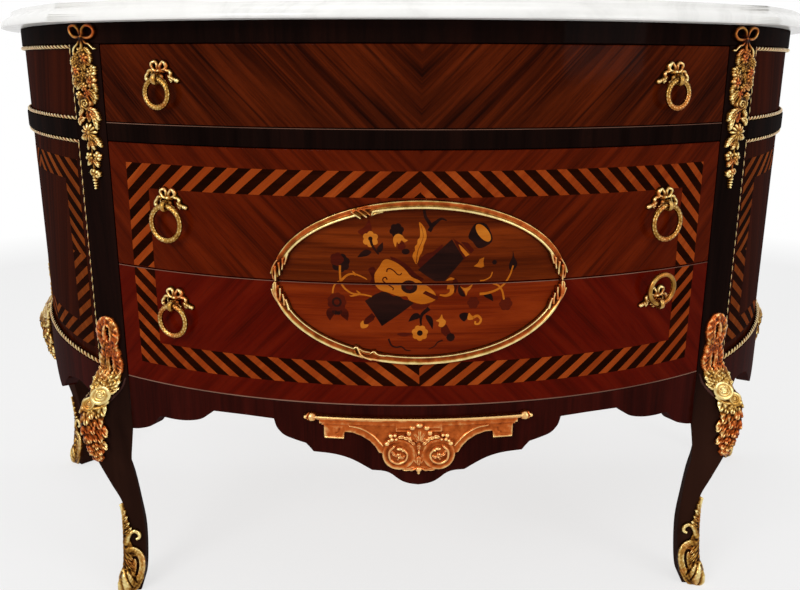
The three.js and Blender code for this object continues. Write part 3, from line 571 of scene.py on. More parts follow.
def drawer_front(name, low, high, material):
    half = math.asin((OPENING_HALF - DRAWER_GAP) / FRONT_RADIUS) * FRONT_RADIUS
    right = steps_between(0, half, CURVE_STEP)
    places = [-p for p in right[:0:-1]] + list(right)
    return bent_board(f"{name}_veneered_front", on_front, FRONT_RADIUS, places,
                      rectangle(-FRONT_THICKNESS, 0, low, high), material, name, [f"{name}_front"], matched,
                      bevel=FRONT_ROUNDING)


HANDS = ((1, "right"), (-1, "left"))


def sides(make):
    for side, word in HANDS:
        make(side, word)


SIDE_PLACES = steps_between(SIDE_FROM + SEAT_GAP, REAR_FROM - SEAT_GAP, CURVE_STEP)
SIDE_MIDDLE = (SIDE_PLACES[0] + SIDE_PLACES[-1]) / 2


def side_matched(place, height):
    return matched(place - SIDE_MIDDLE, height, SIDE_GRAIN_SHIFTS)


def side_panel(side, word):
    bent_board(f"side_veneer_{word}", on_side, SIDE_RADIUS, SIDE_PLACES,
               rectangle(-PANEL_RECESS - PANEL_THICKNESS, -PANEL_RECESS, SIDE_PANEL_FOOT, FRIEZE_LOW),
               side_veneer, "carcase", [f"side_panel_{word}"], side_matched, side=side)


def side_band(side, word):
    places = steps_between(SIDE_PLACES[0], REAR_FROM - ROPE - SEAT_GAP, CURVE_STEP)
    bent_board(f"dark_band_{word}", on_side, SIDE_RADIUS, places,
               rectangle(SEAT_GAP - PANEL_RECESS, 0, WAIST_LOW, WAIST_HIGH), black_wood, "carcase",
               [f"side_band_{word}"], bevel=RAIL_ROUNDING, side=side)


# Aprons: where the lower edge turns; a 1 marks a sharp corner, a 0 a bend
APRON_SHARES = [
    (0, 1, 0), (0.03, 0.985, 0), (0.055, 0.949, 0), (0.094, 0.823, 0), (0.143, 0.815, 1), (0.18, 0.73, 0),
    (0.216, 0.663, 0), (0.264, 0.62, 0), (0.325, 0.612, 1), (0.336, 0.56, 0), (0.349, 0.511, 1),
    (0.385, 0.475, 0), (0.419, 0.435, 0), (0.436, 0.37, 0), (0.444, 0.326, 0), (0.45, 0.233, 1),
    (0.55, 0.222, 0), (0.657, 0.233, 1), (0.68, 0.3, 0), (0.706, 0.376, 0), (0.759, 0.427, 0),
    (0.81, 0.445, 0), (0.869, 0.443, 1), (0.89, 0.52, 0), (0.908, 0.612, 0), (0.969, 0.697, 0),
    (1, 0.72, 1),
]
SIDE_APRON_SHARES = [
    (0, 0.62, 1), (0.05, 0.6, 0), (0.09, 0.52, 0), (0.14, 0.46, 0), (0.22, 0.43, 0), (0.28, 0.5, 0),
    (0.34, 0.56, 1), (0.4, 0.76, 0), (0.45, 0.92, 0), (0.5, 1, 0),
]


CORNER_CUT_SHARE = 0.25


def rounded_line(points, rounds=2):
    """The line with its bends cut to curves; points marked 1 stay sharp."""
    near, far = 1 - CORNER_CUT_SHARE, CORNER_CUT_SHARE
    for _ in range(rounds):
        line = [points[0]]
        for before, here, after in zip(points, points[1:], points[2:]):
            if here[2]:
                line.append(here)
                continue
            line.append(tuple(far * b + near * h for b, h in zip(before[:2], here[:2])) + (0,))
            line.append(tuple(near * h + far * a for h, a in zip(here[:2], after[:2])) + (0,))
        points = line + [points[-1]]
    return points


def edge_line(shares, start, length, top, depth):
    line = rounded_line([(along, drop, sharp) for along, drop, sharp in shares])
    return [(start + along * length, top - drop * depth) for along, drop, _ in line]


def apron_board(name, on_arc, radius, edge, top, replaces, side=1):
    lows = dict(edge)
    bent_board(name, on_arc, radius, list(lows),
               lambda place: rectangle(-APRON_THICKNESS, 0, lows[place], top)(place),
               dark_veneer, "carcase", [replaces], side=side)


def front_apron():
    half = FRONT_HALF_LENGTH - SEAT_GAP
    right = edge_line(APRON_SHARES, 0, half, APRON_TOP, APRON_DEPTH)
    left = [(-place, low) for place, low in right[:0:-1]]
    apron_board("front_apron", on_front, FRONT_RADIUS, left + right, APRON_TOP, "apron_front")


def side_apron(side, word):
    start, length = SIDE_PLACES[0], SIDE_PLACES[-1] - SIDE_PLACES[0]
    front = edge_line(SIDE_APRON_SHARES, start, length, APRON_TOP, SIDE_APRON_DEPTH)
    rear = [(2 * SIDE_MIDDLE - place, low) for place, low in front[-2::-1]]
    apron_board(f"side_apron_{word}", on_side, SIDE_RADIUS, front + rear, SIDE_PANEL_FOOT,
                f"apron_{word}", side)


# Posts: stile and cabriole leg in one; the same sections as the solid, with more of them
LEG_SHARES = [
    (0, -0.229, 0.64, 0.43, 0.62, 0.61, 0.12, 0.05, 0),
    (0.092, -0.314, 0.54, 0.414, 0.52, 0.543, 0.12, 0.05, 0),
    (0.251, -0.329, 0.343, 0.421, 0.314, 0.5, 0.12, 0.08, 0),
    (0.393, -0.3, 0.3, 0.414, 0.286, 0.514, 0.1, 0.14, 0),
    (0.496, -0.086, 0.314, 0.586, 0.3, 0.6, 0.08, 0.2, 0.1),
    (0.6, 0.13, 0.343, 0.73, 0.33, 0.7, 0.08, 0.26, 0.4),
    (0.697, 0.28, 0.386, 0.936, 0.36, 0.8, 0.08, 0.25, 0.8),
    (0.781, 0.343, 0.4, 1.05, 0.371, 0.857, 0.12, 0.23, 1),
    (0.864, 0.3, 0.357, 0.993, 0.376, 0.857, 0.3, 0.2, 0.9),
    (0.948, 0.143, 0.229, 0.836, 0.376, 0.714, 0.62, 0.08, 0.5),
]
HIGHEST_LEG_SHARE = LEG_SHARES[-1][0]
RIDGE_BULGE_SHARE = 0.2
FOOT_ROUNDING = 0.014
FOOT_LOSS_SHARE = 0.16
RIDGE_END_SHARE = 0.96
LEG_STEP = 0.005
FOOT_STEPS = [0, 0.001, 0.0025]


def xy(point):
    return np.array([float(point[0]), float(point[1])])


front_back_y = on_side(SIDE_START, -STILE_DEPTH)[1]
FRONT_POST = {
    "start": xy(on_front(FRONT_ANGLE, 0)), "end": xy(on_side(SIDE_START, 0)),
    "back_end": xy(on_side(SIDE_START, -STILE_DEPTH)), "back_start": xy((OPENING_HALF, front_back_y)),
    "tuck": np.zeros(2), "knee_reach": 0.0,
}
REAR_POST = {
    "start": xy(on_side(REAR_STILE, 0)), "end": xy(on_side(SIDE_END, 0)),
    "back_end": xy((on_side(SIDE_END, 0)[0] - STILE_DEPTH, CASE_DEPTH + SHIFT)),
    "back_start": xy(on_side(REAR_STILE, -STILE_DEPTH)),
    "tuck": np.array([-REAR_FOOT_INWARDS, REAR_FOOT_BACK]), "knee_reach": REAR_KNEE_REACH,
}


def face_angle(post):
    way = post["end"] - post["start"]
    return math.atan2(way[1], way[0])


def leg_rings(post, heights):
    shares = np.asarray(heights) / APRON_TOP
    rows = smooth_table(LEG_SHARES, shares)
    turn = face_angle(post) - face_angle(FRONT_POST)
    rotate = np.array([[math.cos(turn), -math.sin(turn)], [math.sin(turn), math.cos(turn)]])
    rings = []
    for share, (reach, forward, across, inner, depth, ridge, lean, bulging) in zip(shares, rows):
        swell = bulging * post["knee_reach"] / KNEE_WIDTH
        out, width = reach + swell, across + swell
        bulge = RIDGE_BULGE_SHARE * ridge * (1 - ridge)
        tuck = post["tuck"] * max(0.0, 1 - share / HIGHEST_LEG_SHARE)
        corners = np.array([
            (out - width, inner),
            (out - width * ridge, forward + (inner - forward) * ridge + bulge),
            (out, forward),
            (out, forward - depth),
            (out - width + lean, forward - depth),
        ])
        corners[:, 1] *= -1
        # The foot is rounded off towards the floor
        low = max(0.0, 1 - share * APRON_TOP / FOOT_ROUNDING)
        corners += (corners.mean(axis=0) - corners) * FOOT_LOSS_SHARE * (1 - math.sqrt(1 - low * low))
        rings.append(post["end"] + corners * KNEE_WIDTH @ rotate.T + tuck)
    return np.array(rings)


def post_rings(post, heights):
    """The post's five corners in plan at each height."""
    leg_top = HIGHEST_LEG_SHARE * APRON_TOP
    start, end = post["start"], post["end"]
    ridge = end + (start - end) * RIDGE_END_SHARE
    stile = np.array([start, ridge, end, post["back_end"], post["back_start"]])
    heights = np.asarray(heights, float)
    rings = leg_rings(post, np.minimum(heights, leg_top))
    share = np.clip((heights - leg_top) / (SIDE_PANEL_FOOT - leg_top), 0, 1)[:, None, None]
    rings = rings + (stile - rings) * share
    if post is REAR_POST:
        rings[:, :, 1] = np.minimum(rings[:, :, 1], CASE_DEPTH + SHIFT)
    return rings


def post(which, side, word):
    shape = {"front": FRONT_POST, "rear": REAR_POST}[which]
    leg_top = HIGHEST_LEG_SHARE * APRON_TOP
    heights = FOOT_STEPS + list(steps_between(LEG_STEP, leg_top, LEG_STEP)) + [SIDE_PANEL_FOOT, FRIEZE_LOW]
    rings = post_rings(shape, heights)
    rings = [[(side * x, y, z) for x, y in ring] for ring, z in zip(rings, heights)]
    loft(f"{which}_post_{word}", rings, leg_wood, "carcase", [f"post_{which}_{word}"], bevel=ARRIS)


# Inlay: thin veneers laid on a curved face, drawn as flat outlines of (place along the arc, height)

def clip_convex(outline, keep):
    """The part of an outline where keep(point) is positive; keep is linear."""
    result = []
    for here, after in zip(outline, outline[1:] + outline[:1]):
        a, b = keep(here), keep(after)
        if a >= 0:
            result.append(here)
        if (a < 0) != (b < 0):
            share = a / (a - b)
            result.append((here[0] + (after[0] - here[0]) * share, here[1] + (after[1] - here[1]) * share))
    return result


# Heights well below and above the chest, and how far the grain of the next wood is shifted
FAR_BELOW = -10.0
FAR_ABOVE = 10.0
GRAIN_SHIFT = 0.7


def inlay(name, outlines, on_arc, radius, offset, materials, body, low=FAR_BELOW, high=FAR_ABOVE, side=1):
    """Outlines (points, material number, grain angle) in one mesh, each cut to strips so that it bends."""
    points, faces, numbers, coordinates = [], [], [], []
    for outline, number, angle in outlines:
        if len(outline) < 3:
            continue
        flat = bmesh.new()
        corners = [flat.verts.new((x, 0, z)) for x, z in outline]
        flat.faces.new(corners)

        def slice_at(place, way, clear=False):
            geometry = flat.verts[:] + flat.edges[:] + flat.faces[:]
            bmesh.ops.bisect_plane(flat, geom=geometry, plane_co=place, plane_no=way, clear_outer=clear)

        for height, way in ((low, -1), (high, 1)):
            slice_at((0, 0, height), (0, 0, way), clear=True)
        if flat.faces:
            least = min(v.co.x for v in flat.verts)
            most = max(v.co.x for v in flat.verts)
            for k in range(math.ceil(least / INLAY_STEP), math.floor(most / INLAY_STEP) + 1):
                slice_at((k * INLAY_STEP, 0, 0), (1, 0, 0))
            bmesh.ops.triangulate(flat, faces=flat.faces[:])
            cos, sin = math.cos(angle), math.sin(angle)
            for face in flat.faces:
                start = len(points)
                ring = [v.co.copy() for v in face.verts]
                normal = (ring[1] - ring[0]).cross(ring[2] - ring[0])
                if normal.y * side > 0:
                    ring.reverse()
                for co in ring:
                    x, y = on_arc(co.x / radius, offset)
                    points.append((side * x, y, co.z))
                    along, across = co.x * cos + co.z * sin, co.z * cos - co.x * sin
                    coordinates.append((along, across + GRAIN_SHIFT * number))
                faces.append((start, start + 1, start + 2))
                numbers.append(number)
        flat.free()
    if not faces:
        return
    piece = make_piece(name, points, faces, materials[0], body, coordinates=coordinates, bevel=0)
    for material in materials[1:]:
        piece.data.materials.append(material)
    piece.data.polygons.foreach_set("material_index", numbers)


# Striped band of the two lower drawers: half widths and heights above and below the seam
BAND_OUT = 0.4225
BAND_IN = 0.3845
BAND_UP_OUT = 0.1478
BAND_UP_IN = 0.1138
BAND_DOWN_OUT = 0.1440
BAND_DOWN_IN = 0.1102
STRIPE_LIGHT_SHARE = 0.455
STRIPE_LAY = 0.00012
STRIPE_TOP_LAY = 0.0002
STRIPE_SEAM_GAP = 0.0012
STRIPE_GRAIN = math.radians(45)
SIDE_BAND_FRONT = 0.022
SIDE_BAND_WIDTH = 0.050
SIDE_BAND_HEIGHT = 0.032
SIDE_BAND_UP = 0.1435
SIDE_BAND_DOWN = 0.1460

# The strips of each quarter: pitch along the band, slope and first start, at the band's outer edge
UPPER_LEFT_STRIPS = (0.034, 0.84, 0.0028)
UPPER_RIGHT_STRIPS = (0.0298, 0.94, 0.0004)
LOWER_LEFT_STRIPS = (0.0342, 0.78, 0.015)
LOWER_RIGHT_STRIPS = (0.0324, 0.83, 0.0013)
SIDE_STRIPS = (0.046, 0.56, 0.01)


def band_boxes(outer, inner, tall, short, gap):
    """The two rectangles of a quarter of the band, from the middle outwards and from the seam up."""
    return [((0, outer), (short, tall)), ((inner, outer), (gap, short))]


def striped(boxes, strips, tall, to_face):
    """Outlines of the dark ground, marked 0, and of the light strips, marked 1.
    to_face turns a quarter's point into one of the face."""
    pitch, slope, first = strips
    outlines = []
    for (p0, p1), (q0, q1) in boxes:
        ground = [(p0, q0), (p1, q0), (p1, q1), (p0, q1)]
        outlines.append(([to_face(c) for c in ground], 0))
        start = first - 5 * pitch
        while start < p1 + tall / slope:
            outline = ground
            low, high = slope * start + tall, slope * (start + pitch * STRIPE_LIGHT_SHARE) + tall
            for keep in (lambda c: slope * c[0] + c[1] - low, lambda c: high - slope * c[0] - c[1]):
                outline = clip_convex(outline, keep)
                if len(outline) < 3:
                    break
            if len(outline) >= 3:
                outlines.append(([to_face(c) for c in outline], 1))
            start += pitch
    return outlines


def lay_stripes(name, outlines, on_arc, radius, offset, body, light_wood, side=1):
    ground = [(outline, 0, 0) for outline, number in outlines if number == 0]
    light = [(outline, 0, STRIPE_GRAIN) for outline, number in outlines if number == 1]
    inlay(f"{name}_ground", ground, on_arc, radius, offset + STRIPE_LAY, [stripe_dark], body, side=side)
    inlay(f"{name}_stripes", light, on_arc, radius, offset + STRIPE_TOP_LAY, [light_wood], body, side=side)


def drawer_stripes():
    gap = SEAM_GAP + STRIPE_SEAM_GAP
    for body, way, tall, short, left, right in (
            ("drawer_middle", 1, BAND_UP_OUT, BAND_UP_IN, UPPER_LEFT_STRIPS, UPPER_RIGHT_STRIPS),
            ("drawer_bottom", -1, BAND_DOWN_OUT, BAND_DOWN_IN, LOWER_LEFT_STRIPS, LOWER_RIGHT_STRIPS)):
        boxes = band_boxes(BAND_OUT, BAND_IN, tall, short, gap)
        outlines = []
        for side, strips in ((1, right), (-1, left)):
            outlines += striped(boxes, strips, tall, lambda c: (side * c[0], SEAM + way * c[1]))
        lay_stripes(f"{body}_band", outlines, on_front, FRONT_RADIUS, 0, body, stripe_light)


def side_stripes(side, word):
    half = (SIDE_PLACES[-1] - SIDE_PLACES[0]) / 2 - BEAD - SIDE_BAND_FRONT
    outlines = []
    for way, tall in ((1, SIDE_BAND_UP), (-1, SIDE_BAND_DOWN)):
        boxes = band_boxes(half, half - SIDE_BAND_WIDTH, tall, tall - SIDE_BAND_HEIGHT, 0)
        for hand in (1, -1):
            outlines += striped(boxes, SIDE_STRIPS, tall,
                                lambda c: (SIDE_MIDDLE + hand * c[0], SEAM + way * c[1]))
    lay_stripes(f"side_band_{word}", outlines, on_side, SIDE_RADIUS, -PANEL_RECESS, "carcase",
                side_stripe, side)


# Painted highlights: thin pale strips along the drawers' and rail's edges, where the light catches them
EDGE_LIGHT_END = 0.002
EDGE_LIGHT_DROP = 0.0009
EDGE_LIGHT = 0.0008
LOWER_EDGE_LIGHT = 0.0016


def edge_lights():
    half = FRONT_HALF_LENGTH - EDGE_LIGHT_END
    for name, body, low, thickness in (
            ("lower_edge", "drawer_bottom", APRON_TOP + DRAWER_GAP, LOWER_EDGE_LIGHT),
            ("seam_edge", "drawer_bottom", SEAM - SEAM_GAP - EDGE_LIGHT_DROP, EDGE_LIGHT),
            ("rail_edge", "carcase", WAIST_HIGH - EDGE_LIGHT_DROP, EDGE_LIGHT)):
        outline = [(-half, low), (half, low), (half, low + thickness), (-half, low + thickness)]
        inlay(name, [(outline, 0, 0)], on_front, FRONT_RADIUS, STRIPE_LAY, [edge_highlight_paint], body)


# Marquetry in the oval: shares of the oval's half height, right and up from its middle

FIELD_INSET = 0.007
FIELD_SEAM_GAP = 0.0011
MARQUETRY_SPREAD = 0.985
MARQUETRY_LEFT = 0.019
INLAY_LAYERS = (0.00012, 0.00018, 0.00024, 0.0003)


def closed_curve(points, steps=5):
    """A smooth closed outline through the points."""
    p = list(points)
    ring = curve([p[-1]] + p + p[:2], steps)
    return [tuple(q) for q in ring[steps:-steps - 1]]


def oval(x, y, across, up, turn=0.0, count=28):
    cos, sin = math.cos(math.radians(turn)), math.sin(math.radians(turn))
    points = []
    for k in range(count):
        a = 2 * math.pi * k / count
        u, v = across * math.cos(a), up * math.sin(a)
        points.append((x + u * cos - v * sin, y + u * sin + v * cos))
    return points


def petals(x, y, radius, count, depth=0.22, turn=0.0, steps=9):
    points = []
    for k in range(count * steps):
        a = 2 * math.pi * k / (count * steps) + turn
        reach = radius * (1 - depth + depth * abs(math.cos(count * (a - turn) / 2)) ** 0.7)
        points.append((x + reach * math.cos(a), y + reach * math.sin(a)))
    return points


def both_edges(points, width_along, ends=slice(None, None, -1)):
    """The outline of a band along a smooth line; width_along gives its widths for the steps, 0 to 1."""
    line = curve(points, 6)
    way = np.gradient(line, axis=0)
    way /= np.linalg.norm(way, axis=1, keepdims=True)
    aside = np.stack([-way[:, 1], way[:, 0]], axis=1)
    aside = aside * width_along(np.linspace(0, 1, len(line)))[:, None] / 2
    return [tuple(q) for q in np.vstack([line + aside, (line - aside)[ends]])]


def ribbon(points, width, end_width=None):
    end_width = width if end_width is None else end_width
    return both_edges(points, lambda along: width + (end_width - width) * along)


def leaf_outline(points, width):
    return both_edges(points, lambda along: width * np.sin(math.pi * along ** 0.8), slice(-2, 0, -1))


YELLOW, DARK, BROWN = 0, 1, 2

VIOLIN_SHARES = [
    (-0.343, 0.291), (-0.257, 0.252), (-0.171, 0.186), (-0.085, 0.087), (0.0, 0.048), (0.038, 0.019),
    (0.14, -0.05), (0.203, -0.121), (0.208, -0.185), (0.152, -0.225), (0.03, -0.245), (-0.107, -0.2),
    (-0.139, -0.151), (-0.235, -0.151), (-0.343, -0.112), (-0.45, -0.079), (-0.504, -0.035), (-0.52, 0.009),
    (-0.526, 0.109), (-0.5, 0.16), (-0.461, 0.219), (-0.429, 0.275), (-0.39, 0.297),
]
SHEET_SHARES = [
    (0.39, 0.533), (0.537, 0.299), (0.311, 0.031), (0.197, 0.031), (0.072, 0.113), (-0.007, 0.171),
]
SHEET_END_SHARES = [(0.469, 0.475), (0.503, 0.451), (0.605, 0.346), (0.56, 0.323), (0.5, 0.4)]
DRUM_SHARES = [
    (0.64, 0.685), (0.585, 0.56), (0.64, 0.5), (0.708, 0.422), (0.815, 0.451), (0.88, 0.53), (0.8, 0.7),
    (0.7, 0.72),
]
FEATHER_SHARES = [
    (-0.03, 0.24), (-0.055, 0.28), (-0.075, 0.33), (-0.062, 0.38), (-0.045, 0.4), (-0.048, 0.45),
    (-0.02, 0.48), (-0.015, 0.53), (0.01, 0.56), (0.012, 0.64), (0.0, 0.737), (0.045, 0.7), (0.078, 0.64),
    (0.09, 0.56), (0.07, 0.5), (0.055, 0.46), (0.05, 0.42), (0.03, 0.37), (0.01, 0.34), (-0.005, 0.28),
]
BOOK_SHARES = [
    (-0.643, -0.212), (-0.52, -0.13), (-0.44, -0.096), (-0.38, -0.1), (-0.3, -0.15), (-0.24, -0.14),
    (-0.18, -0.19), (-0.12, -0.2), (-0.053, -0.234), (-0.24, -0.38), (-0.44, -0.522), (-0.54, -0.36),
]
TULIP_SHARES = [
    (-0.305, 0.52), (-0.29, 0.575), (-0.25, 0.6), (-0.2, 0.585), (-0.165, 0.54), (-0.13, 0.525),
    (-0.17, 0.5), (-0.205, 0.525), (-0.235, 0.48), (-0.26, 0.505), (-0.275, 0.44),
]
STAR_SHARES = [
    (0.285, -0.375), (0.3, -0.425), (0.335, -0.46), (0.325, -0.505), (0.29, -0.535), (0.245, -0.52),
    (0.255, -0.475), (0.215, -0.455), (0.255, -0.43),
]
SMALL_FLOWER_SHARES = [
    (0.66, 0.205), (0.71, 0.245), (0.73, 0.29), (0.785, 0.31), (0.775, 0.26), (0.785, 0.2), (0.75, 0.185),
]
THREE_POINT_SHARES = [
    (0.5, -0.035), (0.545, -0.055), (0.6, -0.045), (0.655, -0.005), (0.625, -0.07), (0.595, -0.1),
    (0.575, -0.155), (0.555, -0.1),
]


def marquetry_pieces():
    """(layer, wood, outline) of everything in the oval."""
    return [
        # Flowers and stems on the left
        (0, DARK, petals(-0.934, 0.245, 0.115, 7, 0.16, 0.3)),
        (1, BROWN, petals(-0.975, 0.285, 0.085, 5, 0.2)), (1, DARK, oval(-0.915, 0.19, 0.04, 0.05)),
        (2, YELLOW, ribbon([(-0.939, 0.215), (-0.941, 0.12), (-0.935, 0.02)], 0.026)),
        (1, YELLOW, ribbon([(-0.93, 0.03), (-0.85, 0.1), (-0.76, 0.112), (-0.66, 0.075), (-0.615, 0.05)],
                           0.03, 0.012)),
        (1, YELLOW, ribbon([(-0.75, 0.1), (-0.78, 0.135), (-0.79, 0.15)], 0.03, 0.004)),
        (1, YELLOW, ribbon([(-0.955, 0.02), (-1.005, -0.02), (-1.025, -0.07), (-1.035, -0.13)], 0.02)),
        (1, YELLOW, ribbon([(-0.93, 0.0), (-0.88, -0.07), (-0.79, -0.125), (-0.66, -0.135),
                            (-0.56, -0.155)], 0.024, 0.018)),
        (1, YELLOW, ribbon([(-0.72, -0.13), (-0.8, -0.155), (-0.83, -0.15)], 0.03, 0.006)),
        (1, YELLOW, ribbon([(-0.7, -0.125), (-0.735, -0.095), (-0.745, -0.085)], 0.026, 0.004)),
        (0, BROWN, leaf_outline([(-1.03, -0.3), (-1.07, -0.38), (-1.074, -0.47)], 0.1)),
        (0, BROWN, leaf_outline([(-0.93, -0.3), (-0.89, -0.38), (-0.855, -0.465)], 0.1)),
        (0, DARK, petals(-0.985, -0.345, 0.06, 3, 0.3, 1.57)),
        (1, BROWN, petals(-0.985, -0.235, 0.118, 9, 0.14)), (2, DARK, oval(-0.985, -0.235, 0.06, 0.06)),
        (3, BROWN, oval(-0.985, -0.235, 0.035, 0.035)),
        (0, BROWN, closed_curve([(-0.72, 0.62), (-0.64, 0.68), (-0.585, 0.76), (-0.555, 0.64),
                                 (-0.58, 0.55), (-0.65, 0.57)])),
        (1, YELLOW, petals(-0.572, 0.534, 0.096, 6, 0.26, 0.5)),
        (2, DARK, oval(-0.572, 0.54, 0.026, 0.026)),
        (2, DARK, ribbon([(-0.572, 0.535), (-0.55, 0.46), (-0.5, 0.385), (-0.475, 0.355)], 0.036, 0.014)),
        (1, DARK, leaf_outline([(-0.56, 0.385), (-0.64, 0.365), (-0.73, 0.315)], 0.075)),
        (1, DARK, leaf_outline([(-0.485, 0.375), (-0.455, 0.43), (-0.425, 0.5)], 0.065)),
        (0, DARK, petals(-0.262, 0.64, 0.086, 6, 0.22, 0.2)), (1, YELLOW, closed_curve(TULIP_SHARES, 3)),
        (1, BROWN, petals(-0.205, 0.455, 0.05, 5, 0.2)), (1, DARK, oval(-0.155, 0.39, 0.046, 0.034)),
        # Violin, feather, book and rolled sheet
        (0, BROWN, closed_curve([(-0.6, 0.17), (-0.53, 0.2), (-0.5, 0.1), (-0.52, -0.02), (-0.58, 0.0),
                                 (-0.56, 0.08)])),
        (0, BROWN, closed_curve([(-0.34, 0.33), (-0.15, 0.24), (-0.03, 0.12), (0.06, 0.06), (-0.02, 0.04),
                                 (-0.2, 0.16)])),
        (1, YELLOW, closed_curve(VIOLIN_SHARES, 3)), (2, DARK, oval(-0.112, -0.035, 0.097, 0.08, -8)),
        (3, BROWN, oval(-0.112, -0.035, 0.045, 0.035, -8)),
        (2, BROWN, ribbon([(-0.38, 0.145), (-0.37, 0.18), (-0.33, 0.182), (-0.285, 0.15), (-0.25, 0.115),
                           (-0.215, 0.112), (-0.205, 0.135)], 0.016, 0.012)),
        (2, BROWN, ribbon([(-0.375, 0.05), (-0.39, 0.078), (-0.42, 0.07), (-0.425, 0.035), (-0.385, 0.005),
                           (-0.33, -0.03), (-0.3, -0.055), (-0.31, -0.075)], 0.016, 0.012)),
        (2, BROWN, [(0.085, -0.083), (0.235, -0.155), (0.235, -0.195), (0.185, -0.185), (0.05, -0.115)]),
        (0, BROWN,
         closed_curve([(-0.08, -0.245), (0.06, -0.255), (0.14, -0.25), (0.08, -0.3), (-0.06, -0.31)])),
        (0, BROWN, closed_curve([(-0.01, 0.26), (0.08, 0.36), (0.17, 0.39), (0.28, 0.47), (0.22, 0.33),
                                 (0.05, 0.19)])),
        (1, YELLOW, closed_curve(FEATHER_SHARES, 3)),
        (2, BROWN, ribbon([(-0.03, 0.25), (-0.01, 0.4), (0.05, 0.56), (0.025, 0.7)], 0.008, 0.003)),
        (1, DARK, SHEET_SHARES), (0, BROWN, [(0.4, 0.545), (0.51, 0.47), (0.6, 0.34), (0.54, 0.29)]),
        (1, YELLOW, SHEET_END_SHARES), (1, DARK, BOOK_SHARES),
        (0, BROWN,
         [(-0.56, -0.36), (-0.64, -0.43), (-0.67, -0.5), (-0.63, -0.51), (-0.54, -0.45), (-0.52, -0.4)]),
        (1, YELLOW, closed_curve([(-0.7, -0.49), (-0.665, -0.455), (-0.655, -0.5), (-0.6, -0.505),
                                  (-0.63, -0.545), (-0.69, -0.55)])),
        # Drum and stems at the top
        (1, DARK, closed_curve(DRUM_SHARES, 3)), (2, YELLOW, oval(0.764, 0.603, 0.128, 0.06, -50)),
        (0, BROWN, [(0.5, 0.5), (0.58, 0.49), (0.66, 0.4), (0.62, 0.36)]),
        (1, DARK,
         ribbon([(0.055, 0.9), (0.075, 0.8), (0.12, 0.73), (0.145, 0.68), (0.12, 0.63)], 0.03, 0.05)),
        (1, DARK, ribbon([(0.145, 0.69), (0.2, 0.735), (0.26, 0.775), (0.325, 0.755)], 0.055, 0.012)),
        # Right: buds, curls and small flowers
        (1, YELLOW, SMALL_FLOWER_SHARES), (1, DARK, oval(0.912, 0.247, 0.028, 0.028)),
        (1, DARK, closed_curve([(1.135, 0.375), (1.155, 0.3), (1.195, 0.22), (1.16, 0.15), (1.105, 0.15),
                                (1.095, 0.22), (1.13, 0.3)])),
        (2, YELLOW, ribbon([(1.145, 0.2), (1.11, 0.09), (1.05, -0.01), (0.96, -0.085), (0.84, -0.125),
                            (0.74, -0.135)], 0.018, 0.032)),
        (1, YELLOW, ribbon([(0.89, 0.13), (0.865, 0.07), (0.8, 0.035), (0.74, 0.028)], 0.014, 0.016)),
        (1, YELLOW, ribbon([(0.9, -0.01), (0.97, -0.04), (1.02, -0.11), (1.045, -0.215)], 0.02, 0.024)),
        (1, DARK, leaf_outline([(0.79, -0.15), (0.86, -0.165), (0.91, -0.23)], 0.07)),
        (0, BROWN, petals(1.07, -0.27, 0.085, 6, 0.2)), (0, BROWN, petals(0.665, -0.24, 0.075, 6, 0.2)),
        (1, YELLOW, ribbon([(0.255, -0.135), (0.33, -0.145), (0.395, -0.11), (0.395, -0.04),
                            (0.345, -0.03)], 0.018, 0.075)),
        (1, YELLOW, closed_curve([(0.33, 0.04), (0.38, 0.075), (0.43, 0.06), (0.41, 0.045), (0.37, 0.04)])),
        (0, BROWN,
         closed_curve([(0.42, 0.06), (0.47, 0.03), (0.46, -0.06), (0.44, -0.12), (0.415, -0.03)])),
        (1, DARK, closed_curve([(0.485, -0.015), (0.51, -0.05), (0.545, -0.11), (0.565, -0.16),
                                (0.51, -0.15), (0.475, -0.09)])),
        (2, YELLOW, closed_curve(THREE_POINT_SHARES, 3)),
        # Horn, scroll and flower below
        (1, YELLOW, closed_curve(STAR_SHARES, 3)),
        (0, BROWN, [(0.275, -0.52), (0.345, -0.505), (0.405, -0.62), (0.335, -0.655), (0.28, -0.6)]),
        (1, DARK, petals(0.396, -0.665, 0.052, 8, 0.1)),
        (1, DARK, closed_curve([(0.5, -0.385), (0.55, -0.36), (0.61, -0.375), (0.6, -0.42), (0.56, -0.47),
                                (0.51, -0.43)])),
        (2, YELLOW,
         closed_curve([(0.615, -0.365), (0.65, -0.4), (0.69, -0.42), (0.66, -0.45), (0.6, -0.445)])),
        (2, YELLOW, ribbon([(0.66, -0.43), (0.72, -0.405), (0.765, -0.45), (0.745, -0.5), (0.7, -0.505),
                            (0.695, -0.47)], 0.034, 0.022)),
        (1, YELLOW, petals(0.021, -0.606, 0.1, 7, 0.2, 0.2)), (2, DARK, oval(0.021, -0.606, 0.035, 0.035)),
        (1, DARK, ribbon([(0.035, -0.515), (0.03, -0.44), (0.05, -0.37), (0.13, -0.3)], 0.018, 0.05)),
        (1, DARK, leaf_outline([(0.09, -0.38), (0.145, -0.45), (0.175, -0.56)], 0.066)),
        (1, DARK, leaf_outline([(0.03, -0.4), (-0.04, -0.4), (-0.12, -0.465)], 0.08)),
        (0, BROWN, leaf_outline([(-0.26, -0.62), (-0.16, -0.625), (-0.06, -0.615)], 0.05)),
        (1, DARK, ribbon([(-0.36, -0.68), (-0.325, -0.76), (-0.27, -0.785), (-0.2, -0.78), (-0.15, -0.82),
                          (-0.09, -0.83)], 0.022, 0.012)),
        (1, DARK, ribbon([(0.3, -0.7), (0.24, -0.725), (0.2, -0.775), (0.13, -0.81)], 0.018, 0.008)),
    ]


